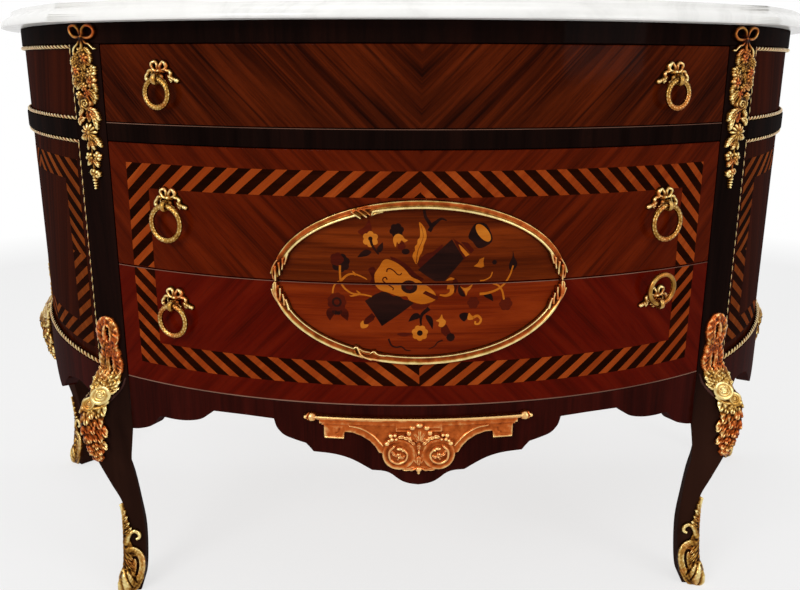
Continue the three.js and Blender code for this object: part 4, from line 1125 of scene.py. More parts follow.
def in_oval(x, z):
    """A place of the marquetry on the drawers' face."""
    return (x * MARQUETRY_SPREAD - MARQUETRY_LEFT) * OVAL_HALF_HEIGHT, SEAM + z * OVAL_HALF_HEIGHT


def marquetry():
    gap = SEAM_GAP + FIELD_SEAM_GAP
    across, up = OVAL_HALF_WIDTH - FIELD_INSET, OVAL_HALF_HEIGHT - FIELD_INSET
    field = [(x, SEAM + z) for x, z in oval(0, 0, across, up, count=96)]
    pieces = marquetry_pieces()
    for body, low, high, wood in (("drawer_middle", SEAM + gap, FAR_ABOVE, upper_field),
                                  ("drawer_bottom", FAR_BELOW, SEAM - gap, lower_field)):
        inlay(f"oval_field_{body}", [(field, 0, 0)], on_front, FRONT_RADIUS, INLAY_LAYERS[0],
              [wood], body, low, high)
        for layer, lay in enumerate(INLAY_LAYERS):
            laid = [([in_oval(*point) for point in outline], shade, 0)
                    for number, shade, outline in pieces if number == layer]
            inlay(f"marquetry_{layer + 1}_{body}", laid, on_front, FRONT_RADIUS, INLAY_LAYERS[0] + lay,
                  [pear_wood, ebony_wood, rose_wood], body, low, high)


# Reliefs: each cast mount is a field of heights over a sheet. Places are shares of the mount's length,
# heights shares of its rise; below zero the sheet lies hidden in what carries the mount.

SINK_SHARE = 0.3
SKIRT_SLOPE = 4.5
SKIRT_DROP_SHARE = 0.12
HOLE_SLOPE = 8.1
FAR_SHARE = 9.0
SHOWN_SLACK = 1e-6
# How far the changed places reach round a form and round a groove, in their own widths
FORM_REACH = 1.8
GROOVE_REACH = 2
# Hollows of a twisted cord
TWIST_LEAN = 0.35
TWIST_DEPTH_SHARE = 0.16
# Leaf: how deep its lobes are cut, how full it is, its midrib and its side ribs
LOBE_SHARE = 0.72
LEAF_FULLNESS = 2.4
LEAF_END_SHARES = (0.02, 0.995)
MIDRIB_DEPTH_SHARE = 0.24
MIDRIB_WIDTH_SHARE = 0.14
SIDE_RIB_SHARE = 0.09
SIDE_RIB_LEAN = 0.9
# Flower: how deep its petals are cut and grooved, the levels of its rim and the height of its heart
PETAL_EDGE_SHARE = 0.68
PETAL_GROOVE_SHARE = 0.62
RIM_START_SHARE = 0.15
RIM_SPAN_SHARE = 0.72
HEART_FOOT_SHARE = 0.55
HEART_RISE_SHARE = 0.5
# Rose: its wavy edge, the windings of its petals, and its height in the middle and towards its edge
ROSE_EDGE_SHARE = 0.88
ROSE_PETALS = 5
ROSE_WINDINGS = 2.6
ROSE_WAVE = 1.2
ROSE_TOP_SHARE = 0.98
ROSE_FALL_SHARE = 0.5
ROSE_GROOVE_SHARE = 0.15
ROSE_FADE = 1.4
CHASED_FROM = 0.1


def curve(points, steps=8):
    """A smooth line through the points."""
    p = np.array(points, float)
    if len(p) < 3:
        return p
    ends = np.vstack([2 * p[0] - p[1], p, 2 * p[-1] - p[-2]])
    t = np.linspace(0, 1, steps, endpoint=False)[:, None]
    parts = []
    for a, b, c, d in zip(ends, ends[1:], ends[2:], ends[3:]):
        parts.append(0.5 * (2 * b + (c - a) * t + (2 * a - 5 * b + 4 * c - d) * t ** 2
                            + (3 * b - 3 * c + d - a) * t ** 3))
    return np.vstack(parts + [p[-1:]])


def rounded(q, power=2):
    """A round section: 1 in the middle, where q is 0, and 0 at the edge, where q is 1."""
    return np.sqrt(np.clip(1 - q ** power, 0, 1))


def blend(least, wave):
    """From least to 1 as the wave goes from 0 to 1."""
    return least + (1 - least) * wave


class Relief:
    def __init__(self, left, right, low, high, step):
        self.step = step
        self.x, self.y = np.meshgrid(np.arange(left, right + step, step), np.arange(low, high + step, step))
        self.h = np.full(self.x.shape, -SINK_SHARE)

    def window(self, x0, x1, y0, y1, margin):
        xs, ys = self.x[0], self.y[:, 0]
        columns = slice(np.searchsorted(xs, x0 - margin), np.searchsorted(xs, x1 + margin) + 1)
        rows = slice(np.searchsorted(ys, y0 - margin), np.searchsorted(ys, y1 + margin) + 1)
        return rows, columns

    def lay(self, where, q, height):
        """Puts a form on the field: q is 0 in its middle and 1 at its edge."""
        height = np.where(q < 1, height, height - (q - 1) * SKIRT_SLOPE - SKIRT_DROP_SHARE)
        self.h[where] = np.maximum(self.h[where], np.maximum(height, -SINK_SHARE))

    def follow(self, where, line):
        """How far along the line each place's nearest point is, 0 to 1, and how far aside it lies."""
        x, y = self.x[where], self.y[where]
        line = np.asarray(line, float)
        lengths = np.hypot(*np.diff(line, axis=0).T)
        best = np.full(x.shape, FAR_SHARE)
        along = np.zeros(x.shape)
        aside = np.zeros(x.shape)
        done = 0.0
        for (ax, ay), (bx, by), length in zip(line, line[1:], lengths):
            if length == 0:
                continue
            wx, wy = (bx - ax) / length, (by - ay) / length
            px, py = x - ax, y - ay
            t = np.clip(px * wx + py * wy, 0, length)
            distance = np.hypot(px - t * wx, py - t * wy)
            nearer = distance < best
            best = np.where(nearer, distance, best)
            along = np.where(nearer, done + t, along)
            aside = np.where(nearer, np.sign(wx * py - wy * px) * distance, aside)
            done += length
        return along / done, aside

    def around(self, line, margin):
        line = np.asarray(line)
        return self.window(line[:, 0].min(), line[:, 0].max(), line[:, 1].min(), line[:, 1].max(), margin)

    def dome(self, points, across, up, top, base=0.0, turn=0.0):
        (x, y), = points
        where = self.window(x, x, y, y, max(across, up) * FORM_REACH)
        dx, dy = self.x[where] - x, self.y[where] - y
        cos, sin = math.cos(turn), math.sin(turn)
        q = np.hypot((dx * cos + dy * sin) / across, (dy * cos - dx * sin) / up)
        self.lay(where, q, base + (top - base) * rounded(q))

    def strand(self, points, radius, top, end_radius=None, base=0.0, twist=0):
        """A round cord along a line; twist is the number of its turns."""
        line = curve(points)
        where = self.around(line, radius * FORM_REACH)
        along, aside = self.follow(where, line)
        width = radius + ((radius if end_radius is None else end_radius) - radius) * along
        q = np.abs(aside) / width
        height = base + (top - base) * rounded(q)
        if twist:
            turns = twist * along + TWIST_LEAN * aside / width
            height = height - TWIST_DEPTH_SHARE * top * (1 + np.cos(2 * math.pi * turns)) / 2
        self.lay(where, q, height)

    def leaf(self, points, width, top, lobes=0, ribs=5, lift=0.0, base=0.3, point=0.75):
        """A leaf along a line from its stem to its tip, with a midrib, side ribs and a lobed edge."""
        line = curve(points)
        where = self.around(line, width * FORM_REACH)
        along, aside = self.follow(where, line)
        spread = np.sin(math.pi * np.clip(along, *LEAF_END_SHARES) ** point) ** 0.75
        if lobes:
            spread = spread * blend(LOBE_SHARE, np.abs(np.cos(math.pi * lobes * along)) ** 0.6)
        q = np.abs(aside) / (width * spread)
        midrib = np.exp(-(aside / (MIDRIB_WIDTH_SHARE * width)) ** 2)
        side_ribs = np.cos(2 * math.pi * (ribs * along - SIDE_RIB_LEAN * q)) * np.clip(q * 2, 0, 1)
        body = blend(base, rounded(q, LEAF_FULLNESS))
        body = top * (body - MIDRIB_DEPTH_SHARE * midrib + SIDE_RIB_SHARE * side_ribs)
        self.lay(where, q, body * (1 + lift * (along - 0.5)))

    def flower(self, points, radius, petals, top, turn=0.0, heart=0.28, cup=0.35):
        (x, y), = points
        where = self.window(x, x, y, y, radius * FORM_REACH)
        dx, dy = self.x[where] - x, self.y[where] - y
        around = np.arctan2(dy, dx) - turn
        wave = np.abs(np.cos(petals * around / 2))
        edge = radius * blend(PETAL_EDGE_SHARE, wave ** 0.6)
        distance = np.hypot(dx, dy)
        q = distance / edge
        rim = np.sin(math.pi * np.clip(RIM_START_SHARE + RIM_SPAN_SHARE * q, 0, 1))
        height = top * blend(cup, rim) * blend(PETAL_GROOVE_SHARE, wave ** 0.5)
        middle = rounded(distance / (radius * heart))
        raised = np.maximum(height, top * (HEART_FOOT_SHARE + HEART_RISE_SHARE * middle))
        height = np.where(middle > 0, raised, height)
        self.lay(where, q, height)

    def rose(self, points, radius, top):
        """A full flower of petals wound round each other."""
        (x, y), = points
        where = self.window(x, x, y, y, radius * FORM_REACH)
        dx, dy = self.x[where] - x, self.y[where] - y
        around = np.arctan2(dy, dx)
        distance = np.hypot(dx, dy)
        wave = np.cos(ROSE_PETALS * around)
        q = distance / (radius * blend(ROSE_EDGE_SHARE, wave))
        winding = np.cos(2 * math.pi * ROSE_WINDINGS * q ** 0.9 - around + ROSE_WAVE * wave * q)
        groove = ROSE_GROOVE_SHARE * winding * np.clip(ROSE_FADE - q, 0, 1)
        self.lay(where, q, top * (ROSE_TOP_SHARE - ROSE_FALL_SHARE * q ** 2 + groove))

    def rings(self, points, radius, top, levels, squash=1.0):
        """A turned disc: levels are (share of the radius, share of the top) from the middle outwards."""
        (x, y), = points
        where = self.window(x, x, y, y, radius * FORM_REACH)
        q = np.hypot(self.x[where] - x, (self.y[where] - y) / squash) / radius
        shares, heights = zip(*levels)
        self.lay(where, q, top * np.interp(q, shares, heights))

    def plate(self, outline, top, edge):
        """A flat plate with a rounded edge."""
        line = np.array(outline, float)
        line = np.vstack([line, line[:1]])
        where = self.around(line, edge * FORM_REACH)
        _, aside = self.follow(where, line)
        x, y = self.x[where], self.y[where]
        inside = np.zeros(x.shape, bool)
        for (ax, ay), (bx, by) in zip(line, line[1:]):
            if ay == by:
                continue
            crosses = ((ay > y) != (by > y)) & (x < (bx - ax) * (y - ay) / (by - ay) + ax)
            inside ^= crosses
        depth = np.where(inside, np.abs(aside), -np.abs(aside))
        q = 1 - depth / edge
        self.lay(where, q, top * rounded(np.clip(q, 0, 1)) ** 0.6)

    def cut(self, where, q):
        """An opening: q is 0 in its middle and 1 at its edge."""
        limit = np.where(q < 1, -SINK_SHARE, -SINK_SHARE + (q - 1) * HOLE_SLOPE)
        self.h[where] = np.minimum(self.h[where], limit)

    def hole(self, points, across, up):
        (x, y), = points
        where = self.window(x, x, y, y, max(across, up) * FORM_REACH)
        self.cut(where, np.hypot((self.x[where] - x) / across, (self.y[where] - y) / up))

    def slot(self, points, width):
        """An opening along a line."""
        line = curve(points)
        where = self.around(line, width * FORM_REACH)
        _, aside = self.follow(where, line)
        self.cut(where, np.abs(aside) / width)

    def chased(self, depth, pitch):
        """The uneven surface left by the chasing tools: waves whose odd numbers keep them from repeating."""
        u, v = self.x / pitch, self.y / pitch
        wave = np.sin(1.3 * u + 2.1 * np.sin(0.7 * v)) * np.sin(1.1 * v - 1.7 * np.sin(0.6 * u))
        wave = wave + 0.6 * np.sin(2.9 * u - 1.1 * v) * np.sin(2.3 * v + 0.8 * u)
        self.h = np.where(self.h > CHASED_FROM, self.h + depth * wave, self.h)

    def groove(self, points, width, depth):
        line = curve(points)
        where = self.around(line, width * GROOVE_REACH)
        _, aside = self.follow(where, line)
        h = self.h[where]
        self.h[where] = np.where(h > 0, h - depth * np.exp(-(aside / width) ** 2), h)


def cast(field, forms, hands=(1,), middle=0):
    """Lays forms (form, points, sizes...) on a field, mirrored about the middle for hand -1."""
    for hand in hands:
        for form, points, *sizes in forms:
            getattr(field, form)([(middle + hand * x, y) for x, y in points], *sizes)


def blurred(field, reach):
    for _ in range(BLUR_ROUNDS):
        for axis in (0, 1):
            total = np.zeros_like(field)
            for shift in range(-reach, reach + 1):
                total += np.roll(field, shift, axis)
            field = total / (2 * reach + 1)
    return field


# How a relief's light-and-wear level is taken: painted shade in its hollows, painted highlights where it
# stands out and higher up, with its wear
LIGHT_AND_WEAR_BLUR = 0.0026
THIN_GILDING = 0.25
CONTRAST = 1.6
LIGHT_AND_WEAR_LEVEL = 0.21
LIGHT_AND_WEAR_BY_HEIGHT = 0.3
SURFACE_BLUR = 0.0022
BLUR_ROUNDS = 3


def relief_piece(name, relief, unit, rise, base, material, body, replaces=(), side=1,
                 copper=THIN_GILDING, polish_and_light=0.0, contrast=CONTRAST):
    """Lays a relief on a carrier. base(across, up) gives the carrier's points, with the sheet's out side
    where across goes right and up goes up."""
    carrier = np.stack(base(relief.x * unit, relief.y * unit), axis=-1)
    reach = max(1, round(SURFACE_BLUR / (relief.step * unit)))
    margin = reach * BLUR_ROUNDS
    edges = ((margin, margin), (margin, margin), (0, 0))
    padded = np.pad(carrier, edges, mode="reflect", reflect_type="odd")
    soft = np.stack([blurred(padded[..., i], reach) for i in range(3)], axis=-1)
    soft = soft[margin:-margin, margin:-margin]
    across = np.gradient(soft, axis=1)
    upwards = np.gradient(soft, axis=0)
    normal = np.cross(across, upwards)
    normal /= np.linalg.norm(normal, axis=2, keepdims=True)
    height = relief.h
    points = carrier + normal * (SEAT_GAP + height * rise)[..., None]
    # The light-and-wear level: painted shade in the hollows and painted highlights on what stands out and on
    # the higher parts, with the gilt's patina and wear
    reach = max(1, round(LIGHT_AND_WEAR_BLUR / (relief.step * unit)))
    ground = blurred(np.maximum(height, 0), reach)
    raised = np.maximum(height, 0) - ground
    light_and_wear = np.clip(LIGHT_AND_WEAR_LEVEL + polish_and_light + contrast * raised + LIGHT_AND_WEAR_BY_HEIGHT * height, 0, 1)
    copper = np.broadcast_to(np.asarray(copper, float), height.shape)
    shown = height > -SINK_SHARE + SHOWN_SLACK
    shown[1:] |= shown[:-1].copy()
    shown[:-1] |= shown[1:].copy()
    shown[:, 1:] |= shown[:, :-1].copy()
    shown[:, :-1] |= shown[:, 1:].copy()
    number = np.cumsum(shown.ravel()).reshape(shown.shape) - 1
    cells = shown[:-1, :-1] & shown[1:, :-1] & shown[:-1, 1:] & shown[1:, 1:]
    corners = [number[:-1, :-1], number[:-1, 1:], number[1:, 1:], number[1:, :-1]]
    faces = np.stack([corner[cells] for corner in corners[::side]], axis=1)
    kept = points[shown]
    kept[:, 0] *= side
    kept[:, 2] = np.maximum(kept[:, 2], 0)
    return field_mesh(name, kept, faces, light_and_wear[shown], material, body, replaces, copper[shown])


def field_mesh(name, points, faces, light_and_wear, material, body, replaces=(), copper=None):
    mesh = bpy.data.meshes.new(name)
    mesh.vertices.add(len(points))
    mesh.vertices.foreach_set("co", np.asarray(points, np.float32).ravel())
    mesh.loops.add(faces.size)
    mesh.loops.foreach_set("vertex_index", faces.astype(np.int32).ravel())
    mesh.polygons.add(len(faces))
    mesh.polygons.foreach_set("loop_start", np.arange(0, faces.size, faces.shape[1], dtype=np.int32))
    mesh.polygons.foreach_set("use_smooth", np.ones(len(faces), bool))
    mesh.update(calc_edges=True)
    copper = np.full(len(points), THIN_GILDING) if copper is None else copper
    for key, values in (("light_and_wear", light_and_wear), ("copper", copper)):
        mesh.attributes.new(key, "FLOAT", "POINT").data.foreach_set("value", np.asarray(values, np.float32))
    mesh.materials.append(material)
    piece = bpy.data.objects.new(name, mesh)
    bpy.context.collection.objects.link(piece)
    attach(piece, body)
    if replaces:
        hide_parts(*replaces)
    return piece


# Garland on a front stile: places from the top middle down, towards the drawers where x is positive
GARLAND_LENGTH = 0.224
GARLAND_DROP = 0.0058
GARLAND_TOP = MARBLE_LOW - GARLAND_DROP
GARLAND_RISE = 0.0062
GARLAND_SPREAD = 1.1
# (form, points, sizes...); a flower has its radius, petals, height and turn, a leaf its width and height
GARLAND_BOW_SHARES = [
    ("strand", [(0.004, -0.052), (0.01, -0.012), (0.042, 0.009), (0.082, -0.002), (0.094, -0.03),
                (0.07, -0.056), (0.03, -0.062), (0.0, -0.052)], 0.0125, 0.8),
    ("strand", [(-0.004, -0.05), (-0.02, -0.012), (-0.048, 0.009), (-0.082, 0.0), (-0.082, -0.03),
                (-0.058, -0.054), (-0.024, -0.058), (0.0, -0.052)], 0.0125, 0.8),
    ("strand", [(0.0, -0.055), (0.026, -0.09), (0.05, -0.098), (0.078, -0.122)], 0.0105, 0.75, 0.008),
    ("strand", [(0.0, -0.055), (-0.03, -0.095), (-0.062, -0.122), (-0.07, -0.145)], 0.0105, 0.75, 0.008),
    ("strand", [(0.0, -0.055), (-0.002, -0.09), (-0.006, -0.125)], 0.015, 0.8, 0.012),
    ("dome", [(0.0, -0.055)], 0.018, 0.015, 1.0), ("dome", [(0.086, -0.125)], 0.013, 0.009, 0.85),
]
GARLAND_STEM_SHARES = [
    ("strand", [(0, -0.09), (-0.006, -0.14), (-0.01, -0.25), (-0.004, -0.4)], 0.01, 0.5),
    ("strand", [(-0.004, -0.6), (0.0, -0.75), (0.002, -0.9)], 0.006, 0.45),
]
GARLAND_FLOWER_SHARES = [
    ("flower", [(-0.018, -0.142)], 0.034, 6, 0.8, 0.3), ("flower", [(-0.058, -0.172)], 0.031, 5, 0.75, 0.9),
    ("flower", [(0.004, -0.18)], 0.036, 5, 0.9, 0.1), ("flower", [(-0.078, -0.205)], 0.028, 6, 0.8, 0.5),
    ("flower", [(-0.04, -0.205)], 0.028, 5, 0.7, 0.7), ("flower", [(-0.064, -0.25)], 0.036, 6, 0.85, 0.2),
    ("flower", [(-0.022, -0.236)], 0.026, 5, 0.7, 0.0), ("flower", [(0.062, -0.246)], 0.028, 6, 0.8, 0.6),
    ("flower", [(0.05, -0.276)], 0.038, 6, 0.95, 0.2), ("flower", [(-0.062, -0.294)], 0.035, 5, 0.85, 0.4),
    ("flower", [(0.008, -0.284)], 0.027, 5, 0.7, 0.9), ("flower", [(0.048, -0.323)], 0.041, 5, 0.95, 0.5),
    ("flower", [(-0.072, -0.332)], 0.029, 6, 0.75, 0.1), ("flower", [(-0.01, -0.352)], 0.031, 5, 0.9, 0.3),
    ("flower", [(0.01, -0.388)], 0.031, 5, 0.8, 0.8), ("flower", [(-0.056, -0.403)], 0.028, 5, 0.8, 0.2),
    ("rose", [(-0.01, -0.452)], 0.058, 1.0), ("flower", [(-0.004, -0.63)], 0.059, 11, 1.0, 0.1),
    ("flower", [(0.04, -0.775)], 0.032, 5, 0.85, 0.3), ("flower", [(-0.02, -0.782)], 0.032, 5, 0.85, 0.9),
    ("flower", [(0.012, -0.888)], 0.034, 5, 0.95, 0.6),
]
GARLAND_LEAF_SHARES = [
    ("leaf", [(0.01, -0.12), (0.03, -0.134), (0.056, -0.16)], 0.018, 0.7),
    ("leaf", [(0.02, -0.16), (0.042, -0.175), (0.05, -0.215)], 0.017, 0.7),
    ("leaf", [(0.01, -0.2), (0.03, -0.215), (0.052, -0.225)], 0.016, 0.65),
    ("leaf", [(0.0, -0.2), (0.004, -0.225), (0.006, -0.262)], 0.016, 0.7),
    ("leaf", [(-0.01, -0.26), (-0.026, -0.3), (-0.046, -0.335)], 0.019, 0.75),
    ("leaf", [(-0.014, -0.33), (-0.04, -0.345), (-0.066, -0.372)], 0.02, 0.9),
    ("leaf", [(0.04, -0.33), (0.066, -0.35), (0.078, -0.385)], 0.018, 0.75),
    ("leaf", [(0.018, -0.375), (0.048, -0.385), (0.078, -0.425)], 0.023, 0.85),
    ("leaf", [(0.03, -0.4), (0.052, -0.42), (0.06, -0.455)], 0.02, 0.7),
    ("leaf", [(-0.02, -0.4), (-0.05, -0.43), (-0.066, -0.47)], 0.018, 0.7),
    ("leaf", [(0.01, -0.48), (0.056, -0.505), (0.086, -0.555)], 0.022, 1.0),
    ("leaf", [(0.02, -0.505), (0.048, -0.54), (0.062, -0.612)], 0.022, 0.95),
    ("leaf", [(0.0, -0.48), (0.004, -0.53), (0.0, -0.57)], 0.028, 0.6),
    ("leaf", [(-0.03, -0.485), (-0.054, -0.51), (-0.058, -0.545)], 0.016, 0.85),
    ("leaf", [(-0.03, -0.54), (-0.062, -0.555), (-0.068, -0.59)], 0.022, 0.85),
    ("leaf", [(0.02, -0.655), (0.048, -0.672), (0.082, -0.718)], 0.019, 0.95),
    ("leaf", [(0.01, -0.67), (0.03, -0.69), (0.046, -0.712)], 0.015, 0.7),
    ("leaf", [(0.002, -0.67), (0.01, -0.7), (0.026, -0.738)], 0.016, 0.85),
    ("leaf", [(-0.004, -0.68), (-0.016, -0.71), (-0.024, -0.74)], 0.015, 0.8),
    ("leaf", [(0.0, -0.8), (-0.02, -0.815), (-0.036, -0.838)], 0.019, 0.8),
    ("leaf", [(0.006, -0.8), (0.028, -0.815), (0.044, -0.846)], 0.019, 0.8),
    ("leaf", [(0.0, -0.86), (-0.012, -0.87), (-0.022, -0.89)], 0.014, 0.8),
    ("leaf", [(0.012, -0.87), (0.034, -0.88), (0.048, -0.905)], 0.016, 0.85),
]
GARLAND_BALL_SHARES = [
    ("dome", [(-0.084, -0.23)], 0.01, 0.009, 0.8), ("dome", [(-0.04, -0.272)], 0.01, 0.009, 0.8),
    ("dome", [(0.026, -0.245)], 0.01, 0.009, 0.75), ("dome", [(-0.022, -0.318)], 0.01, 0.009, 0.8),
    ("dome", [(0.022, -0.305)], 0.009, 0.009, 0.8), ("dome", [(-0.048, -0.662)], 0.026, 0.02, 0.9),
    ("dome", [(0.004, -0.925)], 0.02, 0.012, 0.9), ("dome", [(0.005, -0.944)], 0.016, 0.01, 0.9),
    ("dome", [(0.006, -0.961)], 0.012, 0.01, 0.9), ("dome", [(0.006, -0.978)], 0.008, 0.01, 0.85),
]
GARLAND_COPPER_SHARES = [
    (0.0, -0.04, 0.085), (0.004, -0.18, 0.03), (0.048, -0.323, 0.034), (0.01, -0.388, 0.03),
    (0.004, -0.53, 0.03), (-0.064, -0.25, 0.02), (0.012, -0.82, 0.04),
]
GARLAND_COPPER = 0.22
COPPER_PATCH = 0.5
BOW_DULLNESS = 0.38
FLOWER_DULLNESS = 0.13
BOW_COPPER = 0.62
BOW_FOOT_SHARE = 0.13
BOW_FADE_SHARE = 0.05
GARLAND_CONTRAST = 1.9

# Field of a relief: its left, right, low and high ends and its step
GARLAND_FIELD_SHARES = (-0.112, 0.112, -1.01, 0.03, 0.0026)


def garland_field():
    field = Relief(*GARLAND_FIELD_SHARES)
    for table in (GARLAND_BOW_SHARES, GARLAND_STEM_SHARES, GARLAND_LEAF_SHARES, GARLAND_FLOWER_SHARES,
                  GARLAND_BALL_SHARES):
        cast(field, table)
    return field


def stile_sheet(across, up):
    """The front stile's face: across goes outwards from its middle."""
    start, end = FRONT_POST["start"], FRONT_POST["end"]
    middle = (start + end) / 2
    way = (end - start) / np.linalg.norm(end - start)
    across = across * GARLAND_SPREAD
    return middle[0] + way[0] * across, middle[1] + way[1] * across, GARLAND_TOP + up


def garlands():
    field = garland_field()
    copper = np.full(field.h.shape, GARLAND_COPPER)
    for x, y, reach in GARLAND_COPPER_SHARES:
        copper += COPPER_PATCH * np.exp(-((field.x - x) ** 2 + (field.y - y) ** 2) / reach ** 2)
    bow = np.clip((field.y + BOW_FOOT_SHARE) / BOW_FADE_SHARE, 0, 1)
    copper = np.maximum(copper, BOW_COPPER * bow)
    polish_and_light = -FLOWER_DULLNESS - BOW_DULLNESS * bow
    field.h, copper = field.h[:, ::-1], np.minimum(copper, 1)[:, ::-1]
    for side, word in HANDS:
        relief_piece(f"flower_garland_{word}", field, GARLAND_LENGTH, GARLAND_RISE, stile_sheet, gilt,
                     "carcase",
                     [f"garland_{word}"], side, copper, polish_and_light[:, ::-1], GARLAND_CONTRAST)


# Mounts wrapped round a post: x is the distance from the arris, positive over the outer face

def post_sheet(shape):
    def sheet(across, up):
        rings = post_rings(shape, up[:, 0])
        inner, ridge, arris, back = (rings[:, i][:, None, :] for i in range(4))
        to_ridge = np.linalg.norm(ridge - arris, axis=2)
        to_inner = np.linalg.norm(inner - ridge, axis=2)
        to_back = np.linalg.norm(back - arris, axis=2)
        d = across
        near = np.clip(-d, 0, to_ridge) / to_ridge
        far = np.maximum(-d - to_ridge, 0) / to_inner
        side = np.maximum(d, 0) / to_back
        place = (arris + (ridge - arris) * near[..., None] + (inner - ridge) * far[..., None]
                 + (back - arris) * side[..., None])
        return place[..., 0], place[..., 1], up + 0 * across
    return sheet


KNEE_MOUNT_TOP = 0.449
KNEE_MOUNT_HEIGHT = 0.230
KNEE_MOUNT_LOW = KNEE_MOUNT_TOP - KNEE_MOUNT_HEIGHT
KNEE_MOUNT_RISE = 0.0062
REAR_COPPER_SHARE = 0.3
FRONT_DULLNESS = 0.09
SHELL_POLISH = 0.30
SHELL_REACH_SHARE = 0.10
REAR_DULLNESS = 0.14
KNEE_CHASING_SHARES = (0.09, 0.013)
KNEE_FIELD_SHARES = (-0.26, 0.16, -0.014, 1.012, 0.0028)
KNEE_LOOP_SHARES = [
    # Loop by the stile: body, leaves over its edge and its slot
    ("plate", [(-0.03, 0.845), (-0.014, 0.885), (-0.02, 0.93), (-0.045, 0.972), (-0.08, 0.992),
               (-0.125, 0.99), (-0.165, 0.965), (-0.188, 0.925), (-0.194, 0.885), (-0.185, 0.845),
               (-0.18, 0.8), (-0.2, 0.76), (-0.206, 0.7), (-0.2, 0.64), (-0.205, 0.6), (-0.2, 0.54),
               (-0.16, 0.48), (-0.02, 0.44), (0.0, 0.54), (-0.004, 0.6), (-0.022, 0.64), (-0.02, 0.7),
               (-0.026, 0.745), (-0.04, 0.8)], 0.74, 0.022),
    ("strand", [(-0.06, 0.82), (-0.04, 0.87), (-0.048, 0.93), (-0.085, 0.965), (-0.13, 0.965),
                (-0.165, 0.925), (-0.17, 0.865), (-0.15, 0.82)], 0.03, 0.94, None, 0.6, 9),
    ("strand", [(-0.078, 0.845), (-0.074, 0.885), (-0.084, 0.925), (-0.108, 0.942), (-0.132, 0.925),
                (-0.14, 0.885), (-0.136, 0.845)], 0.013, 0.98, None, 0.6),
    ("leaf", [(-0.11, 0.775), (-0.07, 0.795), (-0.03, 0.85)], 0.03, 0.9, 2, 3),
    ("leaf", [(-0.11, 0.775), (-0.15, 0.795), (-0.19, 0.85)], 0.03, 0.9, 2, 3),
    ("leaf", [(-0.11, 0.8), (-0.075, 0.77), (-0.03, 0.75)], 0.026, 0.85, 2, 3),
    ("leaf", [(-0.115, 0.8), (-0.15, 0.77), (-0.2, 0.75)], 0.026, 0.85, 2, 3),
    ("dome", [(-0.112, 0.79)], 0.022, 0.018, 1.0),
    ("strand", [(-0.07, 0.755), (-0.042, 0.7), (-0.05, 0.64), (-0.075, 0.6)], 0.026, 0.92, 0.024, 0.6, 5),
    ("strand", [(-0.155, 0.755), (-0.188, 0.7), (-0.186, 0.64), (-0.16, 0.6)], 0.026, 0.92, 0.024, 0.6, 5),
    ("strand", [(-0.088, 0.735), (-0.084, 0.66), (-0.095, 0.6)], 0.014, 0.9, None, 0.3),
    ("strand", [(-0.142, 0.735), (-0.15, 0.66), (-0.142, 0.6)], 0.014, 0.9, None, 0.3),
]
KNEE_COLLAR_SHARES = [
    ("leaf", [(-0.11, 0.56), (-0.06, 0.59), (-0.01, 0.64)], 0.03, 0.95, 2, 4),
    ("leaf", [(-0.11, 0.56), (-0.165, 0.59), (-0.205, 0.635)], 0.03, 0.95, 2, 4),
    ("leaf", [(-0.115, 0.56), (-0.085, 0.6), (-0.07, 0.645)], 0.024, 0.9, 2, 4),
    ("leaf", [(-0.115, 0.56), (-0.14, 0.6), (-0.16, 0.645)], 0.024, 0.9, 2, 4),
    ("leaf", [(-0.11, 0.52), (-0.055, 0.545), (0.0, 0.57)], 0.028, 0.95, 2, 4),
    ("leaf", [(-0.115, 0.52), (-0.165, 0.54), (-0.205, 0.575)], 0.028, 0.95, 2, 4),
    ("leaf", [(-0.105, 0.5), (-0.05, 0.505), (0.0, 0.52)], 0.026, 0.9, 2, 4),
    ("leaf", [(-0.13, 0.5), (-0.17, 0.505), (-0.2, 0.53)], 0.024, 0.9, 2, 4),
    ("strand", [(-0.16, 0.6), (-0.115, 0.585), (-0.06, 0.598)], 0.016, 1.0),
]
SHELL_LEVELS = [
    (0, 0.95), (0.22, 1.0), (0.34, 0.84), (0.48, 0.98), (0.6, 0.88), (0.8, 1.0), (0.94, 0.95), (1, 0.7),
]
KNEE_DISC_SHARES = [
    ("rings", [(-0.095, 0.47)], 0.07, 1.05, SHELL_LEVELS, 0.86),
    ("leaf", [(-0.12, 0.455), (-0.09, 0.485), (-0.05, 0.49)], 0.024, 1.1, 0, 4),
    ("rings", [(-0.036, 0.415)], 0.04, 1.0, SHELL_LEVELS, 1.1),
    ("strand", [(-0.15, 0.43), (-0.115, 0.395), (-0.075, 0.385), (-0.03, 0.37)], 0.017, 0.9, 0.014),
    ("strand", [(-0.06, 0.36), (-0.016, 0.372), (0.03, 0.375), (0.08, 0.4)], 0.015, 0.95, 0.012),
]
KNEE_LEAF_OUTLINE_SHARES = [
    (-0.132, 0.43), (-0.12, 0.385), (-0.138, 0.33), (-0.139, 0.285), (-0.12, 0.255), (-0.132, 0.215),
    (-0.118, 0.165), (-0.098, 0.145), (-0.102, 0.105), (-0.086, 0.07), (-0.07, 0.055), (-0.066, 0.025),
    (-0.04, 0.0), (-0.01, -0.005), (0.012, 0.015), (0.03, 0.06), (0.036, 0.09), (0.056, 0.12),
    (0.054, 0.165), (0.078, 0.2), (0.076, 0.25), (0.1, 0.29), (0.094, 0.35), (0.104, 0.4), (0.09, 0.45),
]
